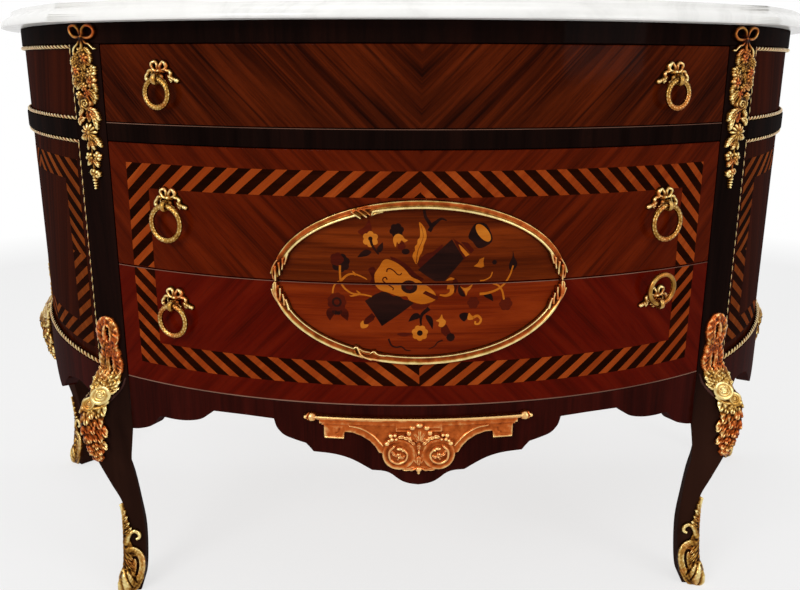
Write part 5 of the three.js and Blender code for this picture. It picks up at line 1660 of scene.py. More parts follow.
# Folds of the leaf: height of each row, how far it reaches to both sides, and how far its lobes hang
KNEE_FOLD_SHARES = [
    (0.365, 0.125, 0.105, 0.06), (0.3, 0.135, 0.102, 0.062), (0.235, 0.124, 0.084, 0.058),
    (0.172, 0.11, 0.066, 0.052), (0.116, 0.096, 0.046, 0.044), (0.07, 0.062, 0.02, 0.036),
    (0.034, 0.032, 0.006, 0.026),
]
FOLD_SLIP_SHARE = 0.17
FOLD_MIDDLE_SHARE = -0.018
FOLD_REACH_SHARE = 0.78
FOLD_SWING_SHARE = 0.25
FOLD_SWING_TURN = 3.1
FOLD_ROOT_SHARE = 0.012
FOLD_WIDTH_SHARE = 0.72
FOLD_LEAST_SHARE = 0.004
FOLD_TOP_SHARE = 0.8
FOLD_TOP_LIFT = 0.12
# Root, middle and tip of a fold: share of its place across and of how far its lobe hangs
FOLD_LINE_SHARES = [(0.6, 1), (0.9, 0.3), (1.1, -0.62)]
KNEE_OPENING_SHARES = [
    ("hole", [(-0.108, 0.882)], 0.015, 0.05),
    ("slot", [(-0.117, 0.712), (-0.117, 0.662), (-0.122, 0.618)], 0.0125),
    ("plate", KNEE_LEAF_OUTLINE_SHARES, 0.7, 0.02),
]
FOLD_PLACE_SHARES = [
    (-1.0, 0.34, 1.0), (-0.62, 0.3, 0.85), (-0.25, 0.26, 1.05), (0.12, 0.26, 0.8), (0.5, 0.3, 1.0),
    (0.9, 0.34, 0.85),
]


def knee_mount_field():
    field = Relief(*KNEE_FIELD_SHARES)
    cast(field, KNEE_LOOP_SHARES + KNEE_COLLAR_SHARES + KNEE_OPENING_SHARES)
    for step, (y, inner, outer, hang) in enumerate(KNEE_FOLD_SHARES):
        for place, width, top in FOLD_PLACE_SHARES:
            shifted = place + FOLD_SLIP_SHARE * (1 if step % 2 else -1)
            reach = inner if shifted < 0 else outer
            x = FOLD_MIDDLE_SHARE + shifted * reach * FOLD_REACH_SHARE
            bend = y + hang * FOLD_SWING_SHARE * math.sin(FOLD_SWING_TURN * shifted + step)
            line = [(x * across, bend + hang * down) for across, down in FOLD_LINE_SHARES]
            line[0] = (line[0][0] - FOLD_ROOT_SHARE, line[0][1])
            field.leaf(line, reach * width * FOLD_WIDTH_SHARE + FOLD_LEAST_SHARE,
                       FOLD_TOP_SHARE * top + FOLD_TOP_LIFT, ribs=3, lift=0.9, base=0.7, point=0.85)
    field.chased(*KNEE_CHASING_SHARES)
    cast(field, KNEE_DISC_SHARES)
    return field


COLLAR_PLACE_SHARE = 0.47
COLLAR_REACH_SHARE = 0.13
LOOP_COPPER = 0.74
COLLAR_PALENESS = 0.84
COPPER_RIPPLE = 0.06
COPPER_RIPPLES = 60


def knee_copper(field):
    """Coppery loops and foot of the leaf, with a pale collar and shell."""
    pale = np.exp(-((field.y - COLLAR_PLACE_SHARE) / COLLAR_REACH_SHARE) ** 2)
    ripple = COPPER_RIPPLE * np.cos(field.y * COPPER_RIPPLES)
    return np.clip(LOOP_COPPER - COLLAR_PALENESS * pale + ripple, 0, 1)


def knee_sheet(shape):
    sheet = post_sheet(shape)
    return lambda across, up: sheet(across, up + KNEE_MOUNT_LOW)


SHOULDER_FIELD_SHARES = (-0.28, -0.02, 0.34, 0.72, 0.004)
KNEE_SHOULDER_SHARES = [
    ("strand", [(-0.07, 0.38), (-0.125, 0.412), (-0.172, 0.455), (-0.212, 0.52), (-0.228, 0.588)], 0.02,
     0.3, 0.006),
]


def knee_shoulders():
    """The rounded edge that runs from the stile round the top of each front knee, in a paler wood that
    paints its highlight.
    """
    field = Relief(*SHOULDER_FIELD_SHARES)
    cast(field, KNEE_SHOULDER_SHARES)
    for side, word in HANDS:
        relief_piece(f"front_knee_shoulder_{word}", field, KNEE_MOUNT_HEIGHT, KNEE_MOUNT_RISE,
                     knee_sheet(FRONT_POST), shoulder_highlight_wood, "carcase", side=side)


def knee_mounts():
    field = knee_mount_field()
    (x, y), = KNEE_DISC_SHARES[0][1]
    shell = SHELL_POLISH * np.exp(-((field.x - x) ** 2 + (field.y - y) ** 2) / SHELL_REACH_SHARE ** 2)
    for which, shape, share, dullness in (("front", FRONT_POST, 1, FRONT_DULLNESS),
                                          ("rear", REAR_POST, REAR_COPPER_SHARE, REAR_DULLNESS)):
        for side, word in HANDS:
            relief_piece(f"{which}_knee_leaf_{word}", field, KNEE_MOUNT_HEIGHT, KNEE_MOUNT_RISE,
                         knee_sheet(shape), gilt, "carcase", [f"knee_mount_{which}_{word}"], side,
                         knee_copper(field) * share, shell - dullness)


SABOT_HEIGHT = 0.146
SABOT_RISE = 0.0058
SABOT_FLOOR_GAP = 0.0004
SABOT_COPPER = 0.16
SABOT_DULLNESS = 0.17
SABOT_CHASING_SHARES = (0.05, 0.016)
SABOT_FIELD_SHARES = (-0.24, 0.24, -0.005, 1.02, 0.0036)
SABOT_BODY_SHARES = [
    ("plate", [(0, -0.02), (0.12, -0.01), (0.175, 0.05), (0.205, 0.14), (0.205, 0.25), (0.19, 0.35),
               (0.16, 0.43), (0.118, 0.475), (0.075, 0.49), (0.045, 0.56), (0.04, 0.62), (0.06, 0.68),
               (0.045, 0.73), (0.036, 0.79), (0.024, 0.86), (0.016, 0.93), (0, 0.99)], 0.72, 0.024),
    # Thick rim round the eye
    ("strand", [(0.03, 0.455), (0.075, 0.455), (0.125, 0.425), (0.165, 0.35), (0.172, 0.25), (0.155, 0.165),
                (0.115, 0.095), (0.06, 0.05)], 0.034, 1.0, 0.036, 0.6),
    ("slot", [(0.062, 0.345), (0.09, 0.375), (0.12, 0.35), (0.13, 0.28), (0.12, 0.195)], 0.0125),
    # Rolled leaf beside the eye and ribs that run down to the toe
    ("leaf", [(0.005, 0.46), (0.03, 0.4), (0.08, 0.335)], 0.036, 0.95, 1, 3),
    ("leaf", [(0.0, 0.4), (0.045, 0.31), (0.1, 0.255)], 0.032, 0.95, 1, 3),
    ("leaf", [(0.0, 0.34), (0.05, 0.245), (0.105, 0.185)], 0.032, 0.95, 1, 3),
    ("leaf", [(0.0, 0.26), (0.055, 0.175), (0.115, 0.11)], 0.034, 1.0, 0, 3),
    ("leaf", [(0.0, 0.2), (0.06, 0.11), (0.12, 0.05)], 0.036, 1.0, 0, 3),
    # Scroll over the hollow, and the leaf up the leg
    ("strand", [(0.012, 0.52), (0.03, 0.6), (0.065, 0.648), (0.105, 0.655), (0.138, 0.625), (0.14, 0.585),
                (0.115, 0.568)], 0.027, 1.0, 0.022, 0.3),
    ("hole", [(0.083, 0.545)], 0.027, 0.03),
    ("leaf", [(0.0, 0.55), (0.02, 0.59), (0.03, 0.635)], 0.026, 0.9, 1, 3),
    ("leaf", [(0.0, 0.62), (0.034, 0.665), (0.066, 0.705)], 0.028, 0.95, 1, 3),
    ("leaf", [(0.0, 0.69), (0.024, 0.735), (0.046, 0.765)], 0.025, 0.9, 1, 3),
    ("leaf", [(0.0, 0.76), (0.016, 0.805), (0.034, 0.84)], 0.022, 0.9, 1, 3),
    ("leaf", [(0.0, 0.83), (0.01, 0.875), (0.022, 0.91)], 0.018, 0.85, 1, 3),
]
SABOT_TOE_SHARES = [
    ("strand", [(0, 0.1), (0, 0.4), (0, 0.975)], 0.02, 0.95, 0.01),
    ("dome", [(0, 0.125)], 0.12, 0.15, 1.9, 0.2),
]
SABOT_TOE_RIB_SHARES = [
    ("groove", [(0.02, 0.24), (0.045, 0.15), (0.1, 0.06)], 0.008, 0.35),
    ("groove", [(0.0, 0.22), (0.012, 0.12), (0.03, 0.02)], 0.008, 0.3),
    ("groove", [(0.04, 0.25), (0.085, 0.18), (0.14, 0.11)], 0.008, 0.3),
]


def sabot_field():
    field = Relief(*SABOT_FIELD_SHARES)
    cast(field, SABOT_BODY_SHARES, (-1, 1))
    cast(field, SABOT_TOE_SHARES)
    cast(field, SABOT_TOE_RIB_SHARES, (-1, 1))
    field.chased(*SABOT_CHASING_SHARES)
    return field


def sabots():
    field = sabot_field()
    for which, shape in (("front", FRONT_POST), ("rear", REAR_POST)):
        sheet = post_sheet(shape)
        for side, word in HANDS:
            relief_piece(f"{which}_gilt_shoe_{word}", field, SABOT_HEIGHT, SABOT_RISE,
                         lambda across, up: sheet(across, np.maximum(up, SABOT_FLOOR_GAP)), gilt, "carcase",
                         [f"sabot_{which}_{word}"], side, SABOT_COPPER, -SABOT_DULLNESS)


# Mount under the lowest drawer: x from the middle, y down from its top, shares of half its width
APRON_MOUNT_TOP = 0.344
APRON_MOUNT_REACH = 0.159
APRON_MOUNT_RISE = 0.0088
APRON_MOUNT_COPPER = 0.95
# Raises the apron mount's light-and-wear level: light painted onto it where it sits in shade under the
# drawers
APRON_MOUNT_PAINTED_LIGHT = 0.15
APRON_MOUNT_CONTRAST = 1.5
APRON_MOUNT_CHASING_SHARES = (0.012, 0.03)
APRON_MOUNT_FIELD_SHARES = (-1.03, 1.03, -0.56, 0.03, 0.0042)
BRACKET_SHARES = [
    (0.0, -0.03), (0.86, -0.03), (0.86, -0.07), (0.83, -0.095), (0.83, -0.2), (0.65, -0.2), (0.64, -0.15),
    (0.58, -0.152), (0.5, -0.18), (0.43, -0.225), (0.38, -0.28), (0.35, -0.335), (0.31, -0.345),
    (0.31, -0.4), (0.27, -0.445), (0.2, -0.475), (0.1, -0.49), (0.0, -0.46),
]
CORNICE_SHARES = [
    ("plate", BRACKET_SHARES + [(-x, y) for x, y in BRACKET_SHARES[:0:-1]], 0.56, 0.012),
    ("plate", [(-0.87, -0.078), (0.87, -0.078), (0.87, -0.036), (-0.87, -0.036)], 0.66, 0.008),
    ("plate", [(-0.85, -0.092), (0.85, -0.092), (0.85, -0.074), (-0.85, -0.074)], 0.56, 0.008),
    ("plate", [(-0.205, -0.135), (0.205, -0.135), (0.205, -0.02), (-0.205, -0.02)], 0.72, 0.01),
    ("plate", [(-0.89, -0.04), (0.89, -0.04), (0.89, -0.02), (-0.89, -0.02)], 0.8, 0.008),
    ("plate", [(-0.9, -0.024), (0.9, -0.024), (0.9, 0.0), (-0.9, 0.0)], 1.0, 0.008),
    ("strand", [(-0.175, -0.086), (0.0, -0.086), (0.175, -0.086)], 0.007, 0.82),
    ("groove", [(-0.185, -0.108), (0.0, -0.108), (0.185, -0.108)], 0.006, 0.12),
]
BRACKET_SIDE_SHARES = [
    # Acorn at the cornice's end
    ("strand", [(0.885, -0.02), (0.9, -0.02), (0.915, -0.02)], 0.02, 0.9),
    ("dome", [(0.936, -0.024)], 0.058, 0.046, 1.0), ("dome", [(0.986, -0.022)], 0.026, 0.026, 0.95),
    ("groove", [(0.958, -0.052), (0.966, -0.022), (0.958, 0.008)], 0.006, 0.3),
    # End block with its foot
    ("plate", [(0.66, -0.175), (0.8, -0.175), (0.815, -0.085), (0.645, -0.085)], 0.6, 0.012),
    ("plate", [(0.645, -0.212), (0.825, -0.212), (0.825, -0.178), (0.645, -0.178)], 0.68, 0.01),
    ("groove", [(0.65, -0.19), (0.735, -0.19), (0.82, -0.19)], 0.004, 0.2),
    ("groove", [(0.69, -0.12), (0.7, -0.15), (0.72, -0.16)], 0.01, 0.14),
    # Beads that follow the bracket's curve
    ("strand", [(0.6, -0.085), (0.5, -0.105), (0.4, -0.165), (0.31, -0.265)], 0.009, 0.8),
    ("strand", [(0.63, -0.13), (0.52, -0.15), (0.43, -0.205), (0.355, -0.3)], 0.006, 0.58),
    # Disc of the scroll, its curl, and the leaf and berries in it
    ("rings", [(0.172, -0.345)], 0.148, 0.86,
     [(0, 0.62), (0.48, 0.6), (0.6, 0.7), (0.7, 0.6), (0.84, 0.78), (0.93, 0.84), (1, 0.6)]),
    ("strand", [(0.215, -0.27), (0.255, -0.32), (0.245, -0.395), (0.185, -0.43), (0.12, -0.405),
                (0.1, -0.345), (0.13, -0.3)], 0.015, 0.84, 0.012, 0.5),
    ("leaf", [(0.175, -0.36), (0.215, -0.345), (0.24, -0.3)], 0.02, 0.86, 1, 3),
    ("leaf", [(0.175, -0.36), (0.14, -0.375), (0.118, -0.35)], 0.018, 0.82, 1, 3),
    ("leaf", [(0.165, -0.33), (0.17, -0.37), (0.195, -0.405)], 0.018, 0.84, 1, 3),
    ("dome", [(0.166, -0.288)], 0.034, 0.017, 1.05, 0.5),
    ("dome", [(0.14, -0.306)], 0.014, 0.013, 0.95, 0.5),
    ("dome", [(0.178, -0.34)], 0.017, 0.015, 0.95, 0.4),
    ("dome", [(0.172, -0.372)], 0.012, 0.011, 0.92, 0.4),
    ("dome", [(0.243, -0.165)], 0.025, 0.024, 1.05, 0.5), ("dome", [(0.206, -0.16)], 0.02, 0.02, 1.05, 0.5),
    ("dome", [(0.232, -0.2)], 0.022, 0.022, 1.05, 0.5), ("dome", [(0.275, -0.24)], 0.027, 0.025, 1.05, 0.5),
    ("dome", [(0.196, -0.198)], 0.018, 0.018, 1.0, 0.5),
    ("dome", [(0.258, -0.214)], 0.019, 0.018, 1.0, 0.5),
    # Leaves between the scrolls
    ("leaf", [(0.186, -0.18), (0.15, -0.172), (0.116, -0.186)], 0.023, 0.98, 0, 1),
    ("leaf", [(0.136, -0.184), (0.108, -0.184), (0.086, -0.206)], 0.023, 0.98, 0, 1),
    ("leaf", [(0.1, -0.2), (0.078, -0.206), (0.058, -0.232)], 0.022, 0.95, 0, 1),
    ("leaf", [(0.072, -0.226), (0.05, -0.234), (0.032, -0.258)], 0.02, 0.9, 0, 1),
    ("leaf", [(0.01, -0.46), (0.06, -0.482), (0.15, -0.492)], 0.026, 0.72, 0, 2),
    ("leaf", [(0.012, -0.44), (0.028, -0.38), (0.02, -0.3)], 0.022, 0.75, 0, 2),
]
PALMETTE_MIDDLE_SHARE = 0.004
PALMETTE_SHARES = [
    ("plate", [(-0.08, -0.215), (0.088, -0.215), (0.105, -0.16), (0.098, -0.105), (0.062, -0.068),
               (0.004, -0.046), (-0.054, -0.068), (-0.09, -0.105), (-0.097, -0.16)], 0.72, 0.02),
    ("dome", [(0.004, -0.068)], 0.038, 0.026, 1.05, 0.5),
    ("leaf", [(0.004, -0.215), (0.006, -0.16), (0.004, -0.1)], 0.024, 0.9, 0, 2),
    ("leaf", [(0.0, -0.225), (0.0, -0.275), (0.0, -0.33)], 0.022, 0.8, 0, 4),
    ("dome", [(0.0, -0.322)], 0.016, 0.03, 1.1),
    ("leaf", [(0.0, -0.36), (0.0, -0.4), (0.0, -0.46)], 0.028, 0.8, 0, 3),
    ("plate", [(-0.05, -0.455), (0.05, -0.455), (0.02, -0.5), (-0.02, -0.5)], 0.42, 0.012),
    ("dome", [(0.0, -0.486)], 0.038, 0.036, 0.95), ("dome", [(0.0, -0.52)], 0.02, 0.024, 0.8),
]
# From the palmette's middle outwards, for both hands
PALMETTE_SIDE_SHARES = [
    ("dome", [(0.062, -0.092)], 0.03, 0.026, 1.0, 0.5), ("dome", [(0.09, -0.142)], 0.026, 0.028, 0.98, 0.5),
    ("dome", [(0.086, -0.19)], 0.022, 0.022, 0.95, 0.5),
    ("leaf", [(0, -0.215), (0.032, -0.165), (0.05, -0.125)], 0.02, 0.86, 0, 2),
    ("leaf", [(0, -0.22), (0.04, -0.205), (0.068, -0.175)], 0.017, 0.84, 0, 2),
]


def apron_mount_field():
    field = Relief(*APRON_MOUNT_FIELD_SHARES)
    cast(field, CORNICE_SHARES)
    cast(field, BRACKET_SIDE_SHARES, (-1, 1))
    cast(field, PALMETTE_SHARES)
    cast(field, PALMETTE_SIDE_SHARES, (-1, 1), PALMETTE_MIDDLE_SHARE)
    field.chased(*APRON_MOUNT_CHASING_SHARES)
    return field


def apron_mount():
    relief_piece("apron_bracket_mount", apron_mount_field(), APRON_MOUNT_REACH, APRON_MOUNT_RISE,
                 lambda across, up: (*on_front(across / FRONT_RADIUS, 0), APRON_MOUNT_TOP + up),
                 gilt, "carcase", ["apron_mount"], copper=APRON_MOUNT_COPPER, polish_and_light=APRON_MOUNT_PAINTED_LIGHT,
                 contrast=APRON_MOUNT_CONTRAST)


# Oval frame: x runs along half of it, y inwards from its outer edge
OVAL_HALF_WIDTH = 0.199
OVAL_HALF_HEIGHT = 0.112
OVAL_FRAME_WIDTH = 0.013
OVAL_FRAME_RISE = 0.0082
OVAL_LENGTH = 0.4985
UPPER_SECTION_SHARES = [
    (0, 0.15), (0.04, 0.5), (0.09, 0.66), (0.14, 0.6), (0.2, 0.56), (0.45, 0.6), (0.56, 0.68), (0.66, 0.95),
    (0.76, 1.0), (0.86, 0.88), (0.92, 0.62), (0.96, 0.55), (1, 0.1),
]
LOWER_SECTION_SHARES = [
    (0, 0.15), (0.05, 0.6), (0.14, 0.92), (0.26, 1.0), (0.36, 0.92), (0.44, 0.7), (0.6, 0.6), (0.74, 0.62),
    (0.8, 0.78), (0.87, 0.86), (0.94, 0.66), (1, 0.1),
]


# Leaves on the frame: a line of (place along, share of the width), then radius, height and end radius
END_LEAF_SHARES = [
    ([(0.09, 0.8), (0.074, 1.0), (0.058, 1.12)], 0.19, 1.0, 0.12),
    ([(0.072, 0.68), (0.057, 0.92), (0.04, 1.06)], 0.19, 1.02, 0.11),
    ([(0.056, 0.5), (0.04, 0.76), (0.021, 0.94)], 0.19, 1.02, 0.11),
    ([(0.042, 0.28), (0.022, 0.46), (0.002, 0.54)], 0.21, 1.04, 0.12),
    ([(0.062, 0.2), (0.04, 0.04), (0.022, -0.02)], 0.14, 0.94, 0.1),
    ([(0.036, 0.12), (0.02, 0.16), (0.007, 0.3)], 0.13, 0.9, 0.08),
]
UPPER_WRAP_SHARES = [
    ([(0.316, 0.3), (0.322, 0.7), (0.33, 1.12)], 0.14, 0.98, 0.16),
    ([(0.33, 0.25), (0.338, 0.62), (0.347, 1.12)], 0.16, 0.92, 0.18),
    ([(0.344, 0.28), (0.352, 0.6), (0.358, 0.98)], 0.15, 0.88, 0.13),
    ([(0.318, 0.3), (0.34, 0.28), (0.366, 0.36)], 0.14, 0.8, 0.1),
    ([(0.362, 1.1), (0.376, 0.98), (0.396, 0.92)], 0.12, 0.8, 0.1),
    ([(0.364, 1.0), (0.372, 0.72), (0.388, 0.7)], 0.13, 0.98, 0.17),
]
LOWER_WRAP_SHARES = [
    ([(0.69, 0.92), (0.688, 1.1), (0.682, 1.12), (0.676, 0.9), (0.666, 0.52), (0.652, 0.28), (0.632, 0.16)],
     0.15, 1.1, 0.14),
    ([(0.64, 0.86), (0.636, 1.04), (0.63, 1.08), (0.624, 0.92), (0.612, 0.82), (0.598, 0.84)], 0.13, 1.05,
     0.1),
    ([(0.676, 1.02), (0.66, 0.86), (0.644, 0.9)], 0.12, 0.9, 0.1),
    ([(0.668, 0.78), (0.654, 0.64), (0.64, 0.72)], 0.1, 0.85, 0.08),
    ([(0.684, 0.62), (0.672, 0.26), (0.655, 0.08)], 0.12, 0.85, 0.08),
    ([(0.63, 0.8), (0.616, 0.6), (0.6, 0.58)], 0.1, 0.75, 0.08),
]
TIP_SHARE = 0.030
TIP_WIDTH_SHARE = 0.10
INNER_TIP_SHARE = 0.088
WRAP_LEVEL = 0.62
FRAME_FIELD_SHARES = (-0.002, 1.002, -0.022, 0.05, 0.0013)
FRAME_WIDTH_SHARE = OVAL_FRAME_WIDTH / OVAL_LENGTH
FRAME_LEAF_BASE = 0.3
END_UNDER_SHARES = (0.086, 0.02)
WRAP_FADE_SHARE = 0.006
INNER_UNDER_SHARES = (0.3, 0.15)
UNDER_LOSS_SHARE = 0.9
END_TONE_SHARES = (0.095, 0.02)
WRAP_TONE_SHARE = 0.01
COVE_COPPER = 1.15
COVE_REACH_SHARE = 0.2
FRAME_LEAST_COPPER = 0.12
FRAME_LEAF_COPPER = 0.55
FRAME_POLISH = 0.02
FRAME_CONTRAST = 1.2
OVAL_STEPS = 721

# Halves of the frame: hand, drawer, section, cove, leaves of the wrap, their places and their dullness
FRAME_HALVES = {
    "upper": (1, "drawer_middle", UPPER_SECTION_SHARES, 0.32, UPPER_WRAP_SHARES, (0.322, 0.37), 0.16),
    "lower": (-1, "drawer_bottom", LOWER_SECTION_SHARES, 0.6, LOWER_WRAP_SHARES, (0.606, 0.688), 0.08),
}


def near_ends(field, reach, fade):
    return np.clip((reach - np.minimum(field.x, 1 - field.x)) / fade, 0, 1)


def between(field, places, fade):
    start, end = places
    return np.clip((field.x - start) / fade, 0, 1) * np.clip((end - field.x) / fade, 0, 1)


def frame_field(section, wrap, wrap_places):
    field = Relief(*FRAME_FIELD_SHARES)
    width = FRAME_WIDTH_SHARE
    place = field.y / width
    q = np.abs(place - 0.5) * 2
    heights = np.interp(place, *zip(*section))
    # Under the leaves the moulding is worked down, and at the seam it runs out in a tip
    from_end = np.minimum(field.x, 1 - field.x)
    under = np.maximum(near_ends(field, *END_UNDER_SHARES), between(field, wrap_places, WRAP_FADE_SHARE))
    inner_from, inner_fade = INNER_UNDER_SHARES
    inner = np.clip((place - inner_from) / inner_fade, 0, 1)
    heights = heights + (WRAP_LEVEL - heights) * under * inner * UNDER_LOSS_SHARE
    outer_tip, inner_tip = (
        TIP_WIDTH_SHARE + (0.5 - TIP_WIDTH_SHARE) * np.clip(from_end / share, 0, 1) ** 0.7
        for share in (TIP_SHARE, INNER_TIP_SHARE))
    q = np.maximum(q, np.where(place < 0.5, (0.5 - place) / outer_tip, (place - 0.5) / inner_tip))
    field.lay((slice(None), slice(None)), q, heights)
    for leaves, start, way in ((END_LEAF_SHARES, 0, 1), (END_LEAF_SHARES, 1, -1), (wrap, 0, 1)):
        for line, radius, top, end_radius in leaves:
            field.strand([(start + way * x, y * width) for x, y in line], radius * width, top,
                         end_radius * width, FRAME_LEAF_BASE)
    return field


def frame_sheet(half):
    """across runs clockwise along the upper half from the left, or along the lower half from the right."""
    def sheet(across, inwards):
        turns = np.linspace(0, math.pi, OVAL_STEPS)
        ex, ez = OVAL_HALF_WIDTH * np.cos(turns), OVAL_HALF_HEIGHT * np.sin(turns)
        lengths = np.concatenate([[0], np.cumsum(np.hypot(np.diff(ex), np.diff(ez)))])
        share = np.clip(across / OVAL_LENGTH, 0, 1)
        turn = np.interp(share * lengths[-1], lengths, turns)
        edge = math.asin(SEAM_GAP / OVAL_HALF_HEIGHT)
        turn = np.clip(turn, edge, math.pi - edge)
        x = -half * np.cos(turn) * (OVAL_HALF_WIDTH - inwards)
        z = SEAM + half * np.sin(turn) * (OVAL_HALF_HEIGHT - inwards)
        z = np.where(half > 0, np.maximum(z, SEAM + SEAM_GAP), np.minimum(z, SEAM - SEAM_GAP))
        px, py = on_front(x / FRONT_RADIUS, 0)
        return px, py, z
    return sheet


def oval_frame():
    # y runs inwards, so the sheet's up is turned over and the faces with it
    for word, (half, body, section, cove, wrap, wrap_places, dullness) in FRAME_HALVES.items():
        field = frame_field(section, wrap, wrap_places)
        leafy = np.maximum(near_ends(field, *END_TONE_SHARES), between(field, wrap_places, WRAP_TONE_SHARE))
        from_cove = (field.y / FRAME_WIDTH_SHARE - cove) / COVE_REACH_SHARE
        copper = np.clip(COVE_COPPER * np.exp(-from_cove ** 2), FRAME_LEAST_COPPER, 1)
        copper = np.maximum(copper, FRAME_LEAF_COPPER * leafy)[::-1]
        polish_and_light = (FRAME_POLISH - dullness * leafy)[::-1]
        field.h = field.h[::-1]
        sheet = frame_sheet(half)
        top = field.y.max() * OVAL_LENGTH
        low = field.y.min() * OVAL_LENGTH
        relief_piece(f"oval_moulding_{word}", field, OVAL_LENGTH, OVAL_FRAME_RISE,
                     lambda across, up: sheet(across, top + low - up), gilt, body, [f"oval_frame_{word}"],
                     copper=copper, polish_and_light=polish_and_light, contrast=FRAME_CONTRAST)


# Rope beads on the sides

ROPE_AROUND = 12
ROPE_STEP = 0.0011
ROPE_FEWEST_STEPS = 8
ROPE_TWIST = 0.0132
ROPE_CORE_SHARE = 0.46
ROPE_LEAST_LIGHT_AND_WEAR = 0.02
ROPE_LIGHT_AND_WEAR = 0.88


def evenly_along(path):
    """Even steps along a path: how far each is along it, its point and its direction."""
    path = np.asarray(path, float)
    lengths = np.concatenate([[0], np.cumsum(np.linalg.norm(np.diff(path, axis=0), axis=1))])
    at = np.linspace(0, lengths[-1], max(ROPE_FEWEST_STEPS, int(lengths[-1] / ROPE_STEP)))
    points = np.stack([np.interp(at, lengths, path[:, i]) for i in range(3)], axis=1)
    way = np.gradient(points, axis=0)
    way /= np.linalg.norm(way, axis=1, keepdims=True)
    return at, points, way


def tube_faces(count, around, closed=False):
    """Faces between the rings of a tube; a closed one joins its last ring to its first."""
    index = np.arange(count * around).reshape(count, around)
    a = index if closed else index[:-1]
    b = np.roll(index, -1, 0) if closed else index[1:]
    return np.stack([a, b, np.roll(b, -1, 1), np.roll(a, -1, 1)], axis=-1).reshape(-1, 4)


def around_path(points, reach, first, second, turn):
    """Rings of points round a path, in the plane of the two directions that belong to each point."""
    circle = np.cos(turn)[None, :, None] * first + np.sin(turn)[None, :, None] * second
    return points[:, None, :] + reach * circle


def bead_tubes(name, paths, replaces, side):
    """Twisted cords along paths, in one mesh: (points, outward directions, radius) of each."""
    all_points, all_faces, all_light_and_wear = [], [], []
    start = 0
    turn = np.linspace(0, 2 * math.pi, ROPE_AROUND, endpoint=False)
    for path, out, radius in paths:
        at, points, way = evenly_along(path)
        here, there = np.linspace(0, 1, len(at)), np.linspace(0, 1, len(out))
        out = np.stack([np.interp(here, there, column) for column in zip(*out)], axis=1)
        over = np.cross(way, out)
        over /= np.linalg.norm(over, axis=1, keepdims=True)
        out = np.cross(over, way)
        wave = np.abs(np.cos(turn[None, :] + math.pi * at[:, None] / ROPE_TWIST)) ** 0.9
        reach = radius * blend(ROPE_CORE_SHARE, wave)
        ring = around_path(points, reach[..., None], out[:, None, :], over[:, None, :], turn)
        all_points.append(ring.reshape(-1, 3))
        all_faces.append(tube_faces(len(at), ROPE_AROUND) + start)
        # Brighter on the cord's crests and darker in its twists: painted highlights and painted shade, with
        # wear
        all_light_and_wear.append((ROPE_LEAST_LIGHT_AND_WEAR + ROPE_LIGHT_AND_WEAR * wave ** 1.5).ravel())
        start += len(at) * ROPE_AROUND
    points = np.concatenate(all_points) * (side, 1, 1)
    faces = np.concatenate(all_faces)[:, ::-side]
    field_mesh(name, points, faces, np.concatenate(all_light_and_wear), gilt, "carcase", replaces)


def side_line(places, heights, radius):
    """A bead's path on the side panel, the outward direction at each of its points, and its radius."""
    points, out = [], []
    for place, height in zip(places, heights):
        angle = place / SIDE_RADIUS
        points.append((*map(float, on_side(angle, SEAT_GAP - PANEL_RECESS + radius)), height))
        out.append((math.sin(angle), -math.cos(angle), 0))
    return points, out, radius


def side_beads(side, word):
    start, end = SIDE_PLACES[0], SIDE_PLACES[-1]
    bead, thick = BEAD / 2, ROPE / 2
    places = steps_between(start, end, CURVE_STEP)
    paths = [side_line(places, [height] * len(places), radius) for height, radius in (
        (FRIEZE_LOW - SEAT_GAP - bead, bead), (WAIST_HIGH + SEAT_GAP + bead, bead),
        (WAIST_LOW - SEAT_GAP - bead, bead), (SIDE_PANEL_FOOT + SEAT_GAP + thick, thick))]
    paths += [side_line([place, place], heights, bead) for place, *heights in (
        (start + bead, WAIST_HIGH + bead, FRIEZE_LOW - bead),
        (start + bead, SIDE_PANEL_FOOT + thick, WAIST_LOW - bead),
        (end - bead, SIDE_PANEL_FOOT + thick, FRIEZE_LOW - bead))]
    bead_tubes(f"rope_beads_{word}", paths, [f"gilt_bead_{word}"], side)


# Pulls
PULL_INSET = 0.0936
PULL_X = OPENING_HALF - PULL_INSET
RING_WIRE = 0.008
RINGS = {"top": 0.044, "middle": 0.055, "bottom": 0.051}
TOP_PULL_DROP = 0.045
MIDDLE_PULL_DROP = 0.082
PULL_LEVELS = {
    "top": FRIEZE_LOW - TOP_PULL_DROP, "middle": WAIST_LOW - MIDDLE_PULL_DROP,
    "bottom": SEAM - RINGS["bottom"] + RING_WIRE / 2,
}
RING_STAND_OFF = 0.012
RESTING_LEAN = math.radians(4)
PULL_REACH = 0.0305
PULL_RISE = 0.0064
PULL_DULLNESS = 0.16
PULL_COPPER = 0.42
PULL_FIELD_SHARES = (-0.98, 1.1, -0.42, 0.92, 0.018)

